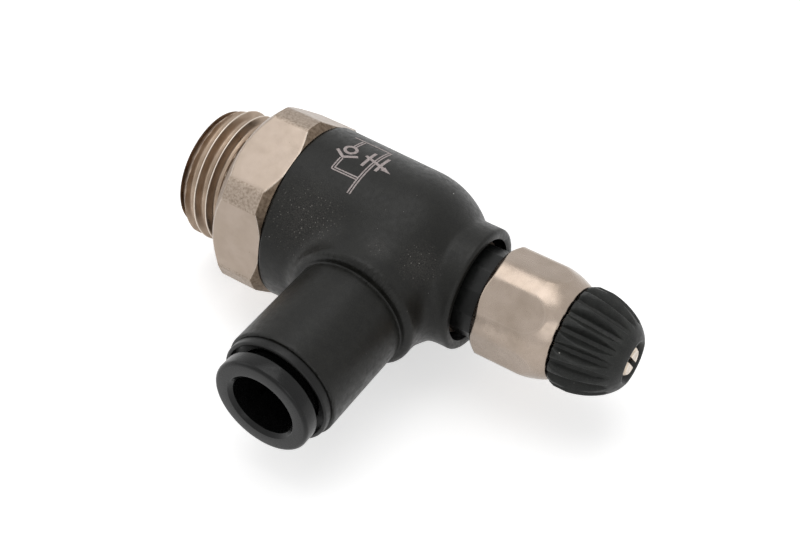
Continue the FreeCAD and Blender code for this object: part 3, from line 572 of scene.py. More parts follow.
@dataclass(frozen=True)
class Nylon:
    """Natural nylon of the friction ring: milky, slightly translucent."""

    name: str
    base: Colour
    shade: Colour

    def build(self) -> bpy.types.Material:
        """The nylon's material."""
        w = Wiring(self.name)
        colour = w.mix(w.ramp(w.noise(0.7, 3.0), 0.35, 0.7), self.base, self.shade)
        w.join(colour, w.shader.inputs["Base Color"])
        w.shader.inputs["Subsurface Weight"].default_value = 0.15
        w.shader.inputs["Subsurface Scale"].default_value = 0.0004
        w.join(w.ramp(w.noise(0.3, 2.0), 0.3, 0.7, 0.35, 0.5), w.shader.inputs["Roughness"])
        w.bump([(w.noise(0.15, 2.0), 0.002)])
        return w.material


@dataclass(frozen=True)
class LaserPrint:
    """Pale laser print: grey with a pink cast, slightly broken up by the polymer's grain."""

    name: str
    pale: Colour
    faded: Colour

    def build(self) -> bpy.types.Material:
        """The print's material."""
        w = Wiring(self.name)
        colour = w.mix(w.ramp(w.noise(0.16, 3.0), 0.4, 0.68), self.pale, self.faded)
        w.join(colour, w.shader.inputs["Base Color"])
        w.join(w.ramp(w.noise(0.1, 2.0), 0.3, 0.7, 0.55, 0.8), w.shader.inputs["Roughness"])
        w.bump([(w.noise(0.06, 2.0), 0.002)])
        return w.material


BODY_POLYMER = MouldedPolymer(
    "body_polymer",
    linear(15, 15, 13),
    linear(25, 25, 22),
    rough=0.4,
    grain_mm=0.1,
    grain_depth_mm=0.014,
    wave_depth_mm=0.02,
    dust_and_glint_share=0.045,
    # The body gets painted sheen patches and glints.
    has_painted_sheen=True,
)
END_RING_POLYMER = MouldedPolymer("end_ring_polymer", linear(12, 12, 12), linear(20, 20, 19), 0.36)
COLLET_POLYMER = MouldedPolymer("collet_polymer", linear(8, 9, 9), linear(15, 15, 15), 0.25)
SLEEVE_POLYMER = MouldedPolymer("sleeve_polymer", linear(12, 13, 13), linear(20, 21, 20), 0.4)
KNOB_POLYMER = MouldedPolymer("knob_polymer", linear(27, 28, 27), linear(41, 42, 40), 0.48)
BACKING_POLYMER = MouldedPolymer("backing_polymer", linear(14, 15, 15), linear(24, 25, 24), 0.5)
# The third colour of each nickel plate is for abraded edges and painted edge highlights.
STEM_NICKEL = NickelPlate(
    "stem_nickel_plate",
    linear(166, 152, 140),
    linear(158, 144, 131),
    linear(226, 217, 207),
    rough=0.36,
    tool_stretch=(1.0, 0.12, 0.12),
)
CORNER_NICKEL = NickelPlate(
    "stem_corner_plate",
    linear(172, 158, 145),
    linear(136, 122, 108),
    linear(226, 217, 207),
    rough=0.42,
    tool_stretch=(1.0, 1.0, 1.0),
    tool_mm=0.1,
    tool_depth_mm=0.012,
    stain_mm=0.22,
    pit_share=0.45,
)
CHAMFER_NICKEL = NickelPlate(
    "stem_chamfer_plate",
    linear(124, 109, 94),
    linear(88, 74, 61),
    linear(232, 222, 210),
    rough=0.42,
    tool_stretch=(0.3, 1.0, 1.0),
    tool_mm=0.1,
    tool_depth_mm=0.006,
    stain_mm=0.3,
    pit_share=0.3,
)
THREAD_NICKEL = NickelPlate(
    "thread_nickel_plate",
    linear(172, 154, 137),
    linear(142, 124, 107),
    linear(232, 222, 210),
    rough=0.34,
    tool_stretch=(1.0, 0.08, 0.08),
    tool_mm=0.04,
)
NUT_NICKEL = NickelPlate(
    "nut_nickel_plate",
    linear(168, 154, 142),
    linear(154, 140, 127),
    linear(216, 206, 196),
    rough=0.25,
    tool_stretch=(1.0, 0.1, 0.1),
)
SPINDLE_NICKEL = PlainMetal("spindle_nickel", linear(214, 200, 184), linear(170, 156, 140), 0.24)
SPRING_STEEL = PlainMetal("spring_steel_bright", linear(180, 180, 182), linear(130, 130, 133), 0.3)
CLAW_STEEL = PlainMetal("claw_steel_bright", linear(200, 200, 202), linear(150, 150, 153), 0.25)
SEAT_BRASS = PlainMetal("seat_brass_turned", linear(214, 186, 128), linear(168, 138, 84), 0.28)
SEAL_RUBBER = Elastomer("seal_rubber_dull", linear(14, 14, 14), linear(26, 26, 25))
FRICTION_NYLON = Nylon("friction_nylon_natural", linear(226, 224, 214), linear(206, 203, 190))
PALE_PRINT = LaserPrint("pale_print", linear(192, 180, 178), linear(152, 141, 139))

INNER_FINISHES: dict[str, PlainMetal | Elastomer | Nylon | MouldedPolymer] = {
    "port_face_seal": SEAL_RUBBER,
    "lower_stem_oring": SEAL_RUBBER,
    "upper_stem_oring": SEAL_RUBBER,
    "check_lip_seal": SEAL_RUBBER,
    "throttle_seat": SEAT_BRASS,
    "stem_retaining_ring": SPRING_STEEL,
    "adjusting_spindle": SPINDLE_NICKEL,
    "spindle_stop_ring": SPRING_STEEL,
    "spindle_oring": SEAL_RUBBER,
    "lock_nut_friction_ring": FRICTION_NYLON,
    "tube_oring": SEAL_RUBBER,
    "tube_backing_ring": BACKING_POLYMER,
    "grip_ring": CLAW_STEEL,
}


def dress(piece: bpy.types.Object, material: bpy.types.Material) -> None:
    """Gives a piece its only material."""
    piece.data.materials.clear()
    piece.data.materials.append(material)


# ---------------------------------------------------------------- metal parts


@dataclass
class Hexagon:
    """Spanner flats cut on a turned part, with a slight rounding where they meet it."""

    across_flats: float
    clocking_deg: float
    edge_mm: float = 0.14

    def flat_radius(self, turn: float) -> float:
        """Distance from the axis to the flats, at an angle about the stem."""
        sixth = math.pi / 3
        off = (turn - math.radians(self.clocking_deg) + sixth / 2) % sixth - sixth / 2
        return self.across_flats / 2 / math.cos(off)

    def radius_at(self, turn: float, turned_radius: float) -> float:
        """Radius of the part where its turned shape meets a flat.

        Args:
            turn: Angle about the stem from +Y towards +Z, in radians.
            turned_radius: Radius before the flats are cut.

        Returns:
            The smaller of the two, blended at the edge.
        """
        return soft_min(turned_radius, self.flat_radius(turn), self.edge_mm)

    def edge_closeness(self, turn: float, turned_radius: float, width: float) -> float:
        """1 on the edge of a flat, falling to 0 at the given width in radius."""
        gap = abs(turned_radius - self.flat_radius(turn))
        return max(0.0, 1.0 - gap / width)


@dataclass
class ThreadedStem:
    """Nickel-plated stem: thread and hexagon as one piece, the inner shank as another."""

    port_r: float = 3.2
    end_x: float = -5.85
    major_r: float = 6.578
    minor_r: float = 5.722
    pitch: float = 1.337
    crest_half: float = 0.05
    flank_deg: float = 27.5
    start_x: float = 1.1035
    root_r: float = 5.85
    end_chamfer: float = 1.2
    undercut: float = 0.95
    groove: tuple[float, float, float] = (6.85, 8.0, 1.1)
    hex_end: float = 5.35
    shank_x: float = 5.4
    hex_corner_r: float = 9.25
    seat_chamfer: float = 0.9
    body_chamfer: float = 0.67
    spigot_r: float = 6.55
    flats_from_r: float = 8.15
    crest_blend: float = 0.05
    root_blend: float = 0.25
    # Bands and strengths of the painted crest highlights, and of the abraded flat edges brightened
    # as painted highlights.
    crest_band: float = 0.08
    crest_highlight: float = 0.75
    edge_wear_and_highlight: float = 0.85
    corner_wear_and_highlight: float = 0.2
    edge_band: float = 0.04
    hexagon: Hexagon = field(default_factory=lambda: Hexagon(17.0, 49.4))
    steps: int = 360
    body: str = "stem"

    def thread_radius(self, along: float, turn: float) -> float:
        """Radius of the threaded length at a point of its surface."""
        lead = (along - self.start_x - self.pitch * turn / (2 * math.pi)) / self.pitch
        off = abs(lead - round(lead)) * self.pitch
        flank = (off - self.crest_half) / math.tan(math.radians(self.flank_deg))
        ridge = soft_min(self.major_r, self.major_r - flank, self.crest_blend)
        cut = -soft_min(-ridge, -self.root_r, self.root_blend)
        runout = self.minor_r + max(0.0, -along - self.undercut)
        chamfer = self.major_r - self.end_chamfer + (along - self.end_x)
        return min(cut, max(self.minor_r, runout), soft_min(self.major_r, chamfer, 0.1))

    def head_outline(self) -> list[Corner]:
        """Closed outline of the thread and the hexagon."""
        inner, outer, depth = self.groove
        seat_r = self.hex_corner_r - self.seat_chamfer
        face_r = self.hex_corner_r - self.body_chamfer
        points = dense([(self.end_x, self.port_r + 0.4), (self.end_x, 5.83)], 0.3, False)
        points += dense([(self.end_x + 0.01, 5.84), (-0.03, self.minor_r)], 0.045, False)
        points += [(0, self.minor_r), (0, inner), (depth, inner), (depth, outer), (0, outer)]
        points += dense([(0, outer + 0.1), (0, seat_r)], 0.08, False)
        seat_edge = (self.seat_chamfer, self.hex_corner_r)
        points += dense([(0.03, seat_r + 0.03), seat_edge], 0.08, False)
        waist = self.hex_end - self.body_chamfer
        corner_start = (self.seat_chamfer + 0.08, self.hex_corner_r)
        points += dense([corner_start, (waist, self.hex_corner_r)], 0.12, False)
        body_edge = (waist + 0.05, self.hex_corner_r - 0.05)
        points += dense([body_edge, (self.hex_end, face_r)], 0.06, False)
        points += dense([(self.hex_end, face_r - 0.08), (self.hex_end, self.spigot_r)], 0.25, False)
        points += [(self.shank_x, self.spigot_r), (self.shank_x, self.port_r)]
        points += [(self.end_x + 0.4, self.port_r)]
        return points

    def reshape(self, co: Vector) -> Vector:
        """Where a point of the spun head goes once the thread and the flats are cut."""
        radius = math.hypot(co.y, co.z)
        turn = math.atan2(co.z, co.y)
        if self.end_x + 0.005 < co.x < -0.01 and radius > self.minor_r - 0.1:
            new = self.thread_radius(co.x, turn)
        elif co.x > -0.01 and radius > self.flats_from_r:
            new = self.hexagon.radius_at(turn, radius)
        else:
            return co
        return Vector((co.x, co.y * new / radius, co.z * new / radius))

    def wear_and_highlight_at(self, co: Vector) -> float:
        """Abraded edges of the flats brightened as painted highlights, and painted highlights on
        the crests of the thread.
        """
        radius = math.hypot(co.y, co.z)
        turn = math.atan2(co.z, co.y)
        if co.x < -0.01:
            closeness = 1 - (self.major_r - radius) / self.crest_band
            return self.crest_highlight * max(0.0, closeness)
        chamfer = min(
            self.hex_corner_r,
            self.hex_corner_r - self.seat_chamfer + co.x,
            self.hex_corner_r - self.body_chamfer + self.hex_end - co.x,
        )
        on_chamfer = chamfer < self.hex_corner_r - 0.02
        share = self.edge_wear_and_highlight if on_chamfer else self.corner_wear_and_highlight
        return share * self.hexagon.edge_closeness(turn, chamfer, self.edge_band)

    def zone_at(self, co: Vector) -> int:
        """Which finish covers a face: 0 flats, 1 thread, 2 corner bands, 3 body-side chamfer."""
        if co.x < -0.02:
            return 1
        radius = math.hypot(co.y, co.z)
        chamfer = self.hex_corner_r - self.body_chamfer + self.hex_end - co.x
        if co.x > self.hex_end - self.body_chamfer and abs(radius - chamfer) < 0.04:
            return 3
        return 2 if radius > self.hex_corner_r - 0.05 else 0

    def build_head(self) -> bpy.types.Object:
        """Thread and hexagon."""
        bm = turned(self.head_outline(), TurningAxis.STEM, self.steps)
        for vert in bm.verts:
            vert.co = self.reshape(vert.co)
        return store(bm, "stem_head", 50.0)

    def build_shank(self) -> bpy.types.Object:
        """Spigot, shank with its flow holes and grooves, and tail, beyond the hexagon."""
        bm = cad_copy("threaded_stem")
        whole = bm.verts[:] + bm.edges[:] + bm.faces[:]
        bmesh.ops.bisect_plane(
            bm, geom=whole, plane_co=(self.shank_x, 0, 0), plane_no=(1, 0, 0), clear_inner=True
        )
        rim = [edge for edge in bm.edges if edge.is_boundary]
        bmesh.ops.bridge_loops(bm, edges=rim)
        return store(bm, "stem_shank", 30.0)

    def build(self) -> list[bpy.types.Object]:
        """Builds and dresses both pieces, and returns them."""
        head = self.build_head()
        mark_wear_and_highlight(head, self.wear_and_highlight_at)
        dress(head, STEM_NICKEL.build())
        for finish in (THREAD_NICKEL, CORNER_NICKEL, CHAMFER_NICKEL):
            head.data.materials.append(finish.build())
        for face in head.data.polygons:
            face.material_index = self.zone_at(face.center / MM)
        shank = self.build_shank()
        dress(shank, STEM_NICKEL.build())
        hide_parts("threaded_stem")
        for piece in (head, shank):
            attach(piece, self.body)
        return [head, shank]


@dataclass
class LockNut:
    """Nickel lock nut: six flats, a chamfered rim, a domed top and a skirt over the sleeve."""

    start_x: float = 25.75
    end_x: float = 33.25
    corner_r: float = 5.28
    rim_r: float = 4.85
    rim_chamfer: float = 0.45
    dome_x: float = 30.6
    dome_mid: Corner = (31.925, 5.02)
    top_r: float = 4.5
    bore_r: float = 2.55
    skirt_r: float = 4.38
    skirt_x: float = 28.3
    ring_groove: tuple[float, float, float] = (30.4, 31.6, 3.4)
    # Strength of the abraded flat edges brightened as painted highlights.
    edge_wear_and_highlight: float = 0.2
    edge_band: float = 0.05
    hexagon: Hexagon = field(default_factory=lambda: Hexagon(10.0, 12.0, 0.1))
    steps: int = 360
    body: str = "nut"

    @cached_property
    def profile(self) -> tuple[list[float], list[float]]:
        """Stations and radii of the nut's outer line."""
        line = self.outside()
        return [point[0] for point in line], [point[1] for point in line]

    def outside(self) -> list[Corner]:
        """Outer line of the nut from its rim to the middle of its top."""
        rim = (self.start_x, self.rim_r)
        corner = (self.start_x + self.rim_chamfer, self.corner_r)
        dome = (self.dome_x, self.corner_r)
        line = [rim, corner, dome]
        line += arc_through(dome, (self.end_x - 0.12, self.top_r + 0.04), self.dome_mid, 24)
        line += [(self.end_x - 0.03, self.top_r - 0.05), (self.end_x, self.top_r - 0.16)]
        return line

    def turned_radius(self, along: float) -> float:
        """Radius of the nut at a station before its flats are cut."""
        return float(np.interp(along, *self.profile))

    def build(self) -> list[bpy.types.Object]:
        """Builds and dresses the nut."""
        first, last, groove_r = self.ring_groove
        outline = dense([(self.start_x, self.skirt_r + 0.1), *self.outside()], 0.1, False)
        outline += [(self.end_x, self.bore_r + 0.15), (self.end_x - 0.15, self.bore_r)]
        outline += [(last, self.bore_r), (last, groove_r), (first, groove_r), (first, self.bore_r)]
        outline += [(self.skirt_x, self.bore_r), (self.skirt_x, self.skirt_r)]
        outline += [(self.start_x + 0.1, self.skirt_r)]
        bm = turned(outline, TurningAxis.STEM, self.steps)
        for vert in bm.verts:
            radius = math.hypot(vert.co.y, vert.co.z)
            if radius > self.skirt_r + 0.11:
                turn = math.atan2(vert.co.z, vert.co.y)
                new = self.hexagon.radius_at(turn, radius)
                vert.co.y *= new / radius
                vert.co.z *= new / radius
        nut = store(bm, "lock_nut_shell", 50.0)
        mark_wear_and_highlight(nut, self.wear_and_highlight_at)
        dress(nut, NUT_NICKEL.build())
        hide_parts("lock_nut")
        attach(nut, self.body)
        return [nut]

    def wear_and_highlight_at(self, co: Vector) -> float:
        """Abraded edges round the flats, brightened as painted highlights."""
        turn = math.atan2(co.z, co.y)
        turned_radius = self.turned_radius(co.x)
        return self.edge_wear_and_highlight * self.hexagon.edge_closeness(turn, turned_radius, self.edge_band)


# ---------------------------------------------------------------- knob and sleeve


@dataclass
class Knob:
    """Black adjusting knob with wide rounded ribs and a domed, bored front."""

    start_x: float = 33.45
    end_x: float = 39.4
    rim_r: float = 4.6
    max_r: float = 4.8
    band_x: float = 33.95
    side_x: float = 35.15
    nose: Corner = (38.25, 3.62)
    side_mid: Corner = (36.75, 4.4)
    nose_mid: Corner = (38.95, 2.95)
    front_r: float = 2.3
    hole_r: float = 1.72
    drive_r: float = 1.96
    collar_r: float = 2.51
    drive: tuple[float, float] = (34.5, 37.5)
    ribs: int = 18
    groove_depth: float = 0.42
    groove_floor: float = 0.2
    groove_wall: float = 0.24
    groove_end_r: float = 3.42
    groove_blend: float = 0.12
    plain_r: float = 2.62
    rib_crown: float = 0.04
    steps: int = 432
    body: str = "needle"

    def outline(self) -> list[Corner]:
        """Closed outline of the knob before its grooves."""
        line = [(self.start_x, self.rim_r), (self.band_x, self.max_r), (self.side_x, self.max_r)]
        line += arc_through(line[-1], self.nose, self.side_mid, 20)
        line += arc_through(self.nose, (self.end_x - 0.08, self.front_r + 0.1), self.nose_mid, 14)
        line += [(self.end_x, self.front_r - 0.05)]
        first, last = self.drive
        inner = [(self.end_x, self.front_r - 0.22), (self.end_x - 0.12, self.front_r - 0.36)]
        inner += [(self.end_x - 0.45, self.hole_r + 0.04), (self.end_x - 0.6, self.hole_r)]
        inner += [(last, self.hole_r), (last, self.drive_r), (first, self.drive_r)]
        inner += [(first, self.collar_r), (self.start_x, self.collar_r)]
        back = [(self.start_x, self.collar_r + 0.3), (self.start_x, self.rim_r - 0.15)]
        back = dense(back, 0.2, False)
        return dense(line, 0.1, False) + inner + back

    def groove_radius(self, along: float, turn: float) -> float:
        """Radius of the nearest groove's wall."""
        pitch = 2 * math.pi / self.ribs
        off = abs((turn + pitch / 2) % pitch - pitch / 2)
        start_r = self.max_r - self.groove_depth
        slope = (start_r - self.groove_end_r) / (self.nose[0] - self.start_x)
        bottom = start_r - slope * (along - self.start_x)
        side = max(0.0, off * bottom - self.groove_floor)
        crown = self.rib_crown * math.cos(off * self.ribs / 2) ** 2
        return bottom + side * self.groove_depth / self.groove_wall - crown

    def build(self) -> list[bpy.types.Object]:
        """Builds and dresses the knob."""
        bm = turned(self.outline(), TurningAxis.STEM, self.steps)
        for vert in bm.verts:
            radius = math.hypot(vert.co.y, vert.co.z)
            if radius < self.plain_r or vert.co.x > self.end_x - 0.1:
                continue
            turn = math.atan2(vert.co.z, vert.co.y) - math.pi / 2
            groove = self.groove_radius(vert.co.x, turn)
            new = min(radius, soft_min(radius, groove, self.groove_blend))
            vert.co.y *= new / radius
            vert.co.z *= new / radius
        knob = store(bm, "ribbed_knob", 45.0)
        dress(knob, KNOB_POLYMER.build())
        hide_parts("knob")
        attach(knob, self.body)
        return [knob]


@dataclass
class BonnetSleeve:
    """Black twelve-sided sleeve between the body's neck and the lock nut."""

    start_x: float = 23.0
    end_x: float = 26.7
    corner_r: float = 4.3
    bore_r: float = 3.31
    bore_steps: int = 72
    facets: int = 12
    edge: float = 0.1
    body: str = "stem"

    def build(self) -> list[bpy.types.Object]:
        """Builds and dresses the sleeve."""
        bm = bmesh.new()
        facing = Matrix.Translation((self.start_x, 0, 0)) @ Matrix.Rotation(math.pi / 2, 4, "Y")
        twist = Matrix.Rotation(math.pi / 2 + math.pi / self.facets, 4, "X")
        rim = bmesh.ops.create_circle(
            bm, cap_ends=True, radius=self.corner_r, segments=self.facets, matrix=twist @ facing
        )
        grown = bmesh.ops.extrude_face_region(bm, geom=bm.faces[:])
        top = [item for item in grown["geom"] if isinstance(item, bmesh.types.BMVert)]
        bmesh.ops.translate(bm, verts=top, vec=(self.end_x - self.start_x, 0, 0))
        bmesh.ops.recalc_face_normals(bm, faces=bm.faces)
        bmesh.ops.bevel(
            bm,
            geom=bm.edges[:],
            offset=self.edge,
            affect="EDGES",
            segments=3,
            profile=0.5,
            material=-1,
        )
        sleeve = store(bm, "faceted_sleeve", 30.0)
        first, last, core_r = self.start_x - 1, self.end_x + 1, 0.5
        bore = [(first, core_r), (first, self.bore_r), (last, self.bore_r), (last, core_r)]
        bored = cut_away(sleeve, [turned(bore, TurningAxis.STEM, self.bore_steps)])
        dress(bored, SLEEVE_POLYMER.build())
        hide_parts("bonnet_sleeve")
        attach(bored, self.body)
        return [bored]


def cut_away(piece: bpy.types.Object, cutters: Sequence[bmesh.types.BMesh]) -> bpy.types.Object:
    """Cuts closed shapes out of a piece and works the cuts into its mesh.

    Args:
        piece: The piece, in metres.
        cutters: Meshes in millimetres, freed here.

    Returns:
        The same piece.
    """
    tools = []
    for index, bm in enumerate(cutters):
        tool = store(bm, f"{piece.name}_cutter_{index}")
        change = piece.modifiers.new(f"cut_{index}", "BOOLEAN")
        change.operation = "DIFFERENCE"
        change.solver = "EXACT"
        change.object = tool
        tools.append(tool)
    cut = applied(piece)
    piece.modifiers.clear()
    piece.data = cut
    piece.data.name = piece.name
    for tool in tools:
        bpy.data.objects.remove(tool)
    piece.data.shade_smooth()
    piece.data.set_sharp_from_angle(angle=math.radians(30))
    return piece


# ---------------------------------------------------------------- body and branch


@dataclass
class SwivelBody:
    """Moulded banjo body: barrel, rounded shoulder, neck, and the branch that grows out of it."""

    base: Corner = (5.40, 8.60)
    shoulder: Corner = (15.55, 8.35)
    neck: Corner = (21.35, 5.95)
    end_x: float = 23.95
    neck_round: float = 0.4
    neck_blend: float = 0.35
    boss_r: float = 6.25
    boss_length: float = 8.95
    boss_round: float = 0.55
    boss_blend: float = 1.7
    boss_shift: Corner = (0.2, 0.4)
    branch_r: float = 5.5
    branch_length: float = 19.1
    branch_round: float = 0.16
    root_blend: float = 0.1
    base_round: float = 0.18
    shoulder_overrun: float = 1.35
    shoulder_steps: int = 16
    probe: float = 0.01
    # Centres and reaches of the painted sheen patches where highlights fall on the shoulder and
    # barrel.
    sheen_spots: tuple[tuple[tuple[float, float, float], float], ...] = (
        ((16.9, -6.1, 5.8), 1.6),
        ((20.6, -5.0, 5.6), 2.4),
        ((9.0, -6.2, 5.8), 4.5),
    )
    voxel: float = 0.19
    body: str = "banjo"

    def barrel_outline(self) -> list[Corner]:
        """Outer outline of the barrel, shoulder and neck, closed along the axis."""
        drop = self.shoulder[1] - self.neck[1]
        run = self.neck[0] - self.shoulder[0]
        radius = (run**2 + drop**2) / (2 * drop)
        sweep = math.asin(run / radius)
        corners: list[Fillet] = [(self.base[0], 0, 0), (*self.base, self.base_round)]
        corners.append((*self.shoulder, 0))
        for step in range(1, self.shoulder_steps + 1):
            turn = self.shoulder_overrun * sweep * step / self.shoulder_steps
            x = self.shoulder[0] + radius * math.sin(turn)
            corners.append((x, self.shoulder[1] - radius * (1 - math.cos(turn)), 0))
        corners.append((corners[-1][0], 0, 0))
        return rounded(corners, 6)

    def neck_outline(self) -> list[Corner]:
        """Outer outline of the neck."""
        start, radius = self.base[0], self.neck[1]
        edge = (self.end_x, radius, self.neck_round)
        return rounded([(start, 0, 0), (start, radius, 0), edge, (self.end_x, 0, 0)], 6)

    def hollow_outline(self) -> list[Corner]:
        """Outline of the cavity round the stem."""
        corners: list[Fillet] = [(4.0, 0, 0), (4.0, 6.6, 0), (17.2, 6.6, 0), (19.2, 4.9, 0)]
        corners += [(19.2, 4.55, 0), (21.9, 4.55, 0), (21.9, 5.25, 0), (23.1, 5.25, 0)]
        corners += [(23.1, 4.4, 0), (23.68, 4.4, 0), (23.78, 5.0, 0), (25.5, 6.2, 0), (25.5, 0, 0)]
        return rounded(corners)

    def boss_outline(self) -> list[Corner]:
        """Outline of the boss round the branch's root."""
        edge = (self.boss_length, self.boss_r, self.boss_round)
        return rounded([(0, 0, 0), (0, self.boss_r, 0), edge, (self.boss_length, 0, 0)], 6)

    def branch_outline(self) -> list[Corner]:
        """Outline of the tube branch."""
        edge = (self.branch_length, self.branch_r, self.branch_round)
        return rounded([(0, 0, 0), (0, self.branch_r, 0), edge, (self.branch_length, 0, 0)])

    def socket_outline(self) -> list[Corner]:
        """Outline of the flow hole, tube socket, seal gland and cartridge bore."""
        corners: list[Fillet] = [(4.7, 0, 0), (4.7, 2.4, 0), (10.0, 2.4, 0), (10.0, 3.06, 0)]
        corners += [(12.4, 3.06, 0), (12.4, 4.5, 0), (14.0, 4.5, 0), (14.0, 4.75, 0)]
        corners += [(20.5, 4.75, 0), (20.5, 0, 0)]
        return rounded(corners)

    def distance(self, points: np.ndarray) -> np.ndarray:
        """Signed distance of points to the body's surface, in millimetres."""
        on_stem = np.c_[points[:, 0], np.hypot(points[:, 1], points[:, 2])]
        on_branch = np.c_[-points[:, 1], np.hypot(points[:, 0] - BRANCH_X, points[:, 2])]
        aside, up = self.boss_shift
        off_axis = np.hypot(points[:, 0] - BRANCH_X - aside, points[:, 2] - up)
        barrel = outline_distance(on_stem, self.barrel_outline())
        neck = outline_distance(on_stem, self.neck_outline())
        barrel = soft_min_many(barrel, neck, self.neck_blend)
        boss = outline_distance(np.c_[-points[:, 1], off_axis], self.boss_outline())
        branch = outline_distance(on_branch, self.branch_outline())
        outer = soft_min_many(barrel, boss, self.boss_blend)
        outer = soft_min_many(outer, branch, self.root_blend)
        hollow = outline_distance(on_stem, self.hollow_outline())
        socket = outline_distance(on_branch, self.socket_outline())
        return np.maximum(outer, -np.minimum(hollow, socket))

    def settle(self, points: np.ndarray) -> np.ndarray:
        """Moves points onto the body's exact surface."""
        for _ in range(3):
            value = self.distance(points)
            slope = np.zeros_like(points)
            for axis in range(3):
                nudge = np.zeros(3)
                nudge[axis] = self.probe
                rise = self.distance(points + nudge) - self.distance(points - nudge)
                slope[:, axis] = rise / (2 * self.probe)
            steep = np.maximum((slope**2).sum(axis=1), 0.2)
            points = points - slope * (np.clip(value, -0.3, 0.3) / steep)[:, None]
        return points

    def build(self) -> list[bpy.types.Object]:
        """Builds and dresses the body."""
        bm = cad_copy("swivel_body")
        bmesh.ops.holes_fill(bm, edges=[e for e in bm.edges if e.is_boundary], sides=0)
        mesh = bpy.data.meshes.new("body_rough")
        bm.to_mesh(mesh)
        bm.free()
        rough = bpy.data.objects.new("body_rough", mesh)
        bpy.context.scene.collection.objects.link(rough)
        remesh = rough.modifiers.new("remesh", "REMESH")
        remesh.mode = "VOXEL"
        remesh.voxel_size = self.voxel
        even = applied(rough)
        bpy.data.objects.remove(rough)
        count = len(even.vertices)
        flat = np.empty(count * 3)
        even.vertices.foreach_get("co", flat)
        even.vertices.foreach_set("co", self.settle(flat.reshape(-1, 3)).ravel())
        bm = bmesh.new()
        bm.from_mesh(even)
        bpy.data.meshes.remove(even)
        shell = store(bm, "banjo_body", 50.0)
        mark_wear_and_highlight(shell, self.painted_sheen_at)
        dress(shell, BODY_POLYMER.build())
        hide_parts("swivel_body")
        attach(shell, self.body)
        return [shell]

    def painted_sheen_at(self, co: Vector) -> float:
        """Painted sheen patches where highlights fall on the shoulder and on the barrel above the
        branch.
        """
        closeness = (1 - (co - Vector(spot)).length / reach for spot, reach in self.sheen_spots)
        return max(0.0, *closeness)


@dataclass
class FlowSymbol:
    """Pneumatic symbol of a check valve beside an adjustable restrictor, printed on the barrel.

    Places are given along the stem and round the barrel from its top, positive towards the branch.
    """

    lift: float = 0.012
    depth: float = 0.03
    line: float = 0.13
    thin_line: float = 0.182
    gap: float = 0.12
    bar: float = 0.3
    step: float = 0.12
    base_x: float = 5.4
    base_r: float = 8.6
    taper: float = 0.25 / 10.15
    body: str = "banjo"
    pipes: tuple[tuple[Corner, ...], ...] = (
        ((11.62, -4.05), (11.66, 3.15)),
        ((8.89, 0.05), (8.92, 1.5), (11.5, 1.45)),
        ((8.9, -3.75), (8.9, -2.0)),
    )
    thin: tuple[tuple[Corner, ...], ...] = (((7.75, -3.95), (11.62, -4.05)),)
    bars: tuple[tuple[Corner, ...], ...] = (
        ((7.86, -0.78), (8.88, -0.12), (10.02, -0.9)),
        ((10.9, -2.6), (10.93, -0.1)),
        ((12.3, -2.7), (12.32, -0.2)),
        ((10.45, -1.6), (13.0, -0.85)),
    )
    ball: tuple[float, float, float] = (8.9, -1.42, 0.55)
    ball_steps: int = 32
    arrow: tuple[Corner, ...] = ((12.75, -1.2), (13.65, -0.65), (12.6, -0.62))

    def on_barrel(self, along: float, around: float, lift: float) -> Vector:
        """Point on the barrel's surface, lifted by the given amount."""
        radius = self.base_r - self.taper * (along - self.base_x)
        turn = math.pi / 2 + around / radius
        reach = radius + lift
        return Vector((along, reach * math.cos(turn), reach * math.sin(turn)))

    def stroke(
        self, bm: bmesh.types.BMesh, path: Sequence[Corner], width: float, shift: float
    ) -> None:
        """Adds one even stroke to the flat drawing.

        Args:
            bm: The drawing, flat in along and around.
            path: Corners of the stroke's middle line.
            width: Width of the stroke.
            shift: How far the stroke lies to the left of the path.
        """
        points = [Vector(p) for p in dense(path, self.step, False)]
        rails = []
        for index, spot in enumerate(points):
            before = points[max(index - 1, 0)]
            after = points[min(index + 1, len(points) - 1)]
            ahead = (after - before).normalized()
            side = Vector((-ahead.y, ahead.x))
            left = spot + side * (shift + width / 2)
            right = spot + side * (shift - width / 2)
            rails.append((bm.verts.new((left.x, left.y, 0)), bm.verts.new((right.x, right.y, 0))))
        for (a, b), (c, d) in zip(rails, rails[1:]):
            bm.faces.new((a, b, d, c))

    def build(self) -> list[bpy.types.Object]:
        """Draws the symbol flat, wraps it round the barrel and gives it thickness."""
        bm = bmesh.new()
        for path in self.pipes:
            self.stroke(bm, path, self.line, self.gap / 2 + self.line / 2)
            self.stroke(bm, path, self.line, -self.gap / 2 - self.line / 2)
        for path in self.thin:
            self.stroke(bm, path, self.thin_line, 0)
        for path in self.bars:
            self.stroke(bm, path, self.bar, 0)
        cx, cy, radius = self.ball
        turns = np.linspace(0, 2 * math.pi, self.ball_steps + 1)
        ring = [(cx + radius * math.cos(turn), cy + radius * math.sin(turn)) for turn in turns]
        self.stroke(bm, ring, self.bar, 0)
        bm.faces.new([bm.verts.new((*corner, 0)) for corner in self.arrow])
        bmesh.ops.recalc_face_normals(bm, faces=bm.faces)
        for face in bm.faces:
            if face.normal.z < 0:
                face.normal_flip()
        grown = bmesh.ops.extrude_face_region(bm, geom=bm.faces[:], use_keep_orig=True)
        top = {item for item in grown["geom"] if isinstance(item, bmesh.types.BMVert)}
        for vert in bm.verts:
            lift = self.lift if vert in top else self.lift - self.depth
            vert.co = self.on_barrel(vert.co.x, vert.co.y, lift)
        bmesh.ops.recalc_face_normals(bm, faces=bm.faces)
        symbol = store(bm, "flow_symbol", 30.0)
        dress(symbol, PALE_PRINT.build())
        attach(symbol, self.body)
        return [symbol]


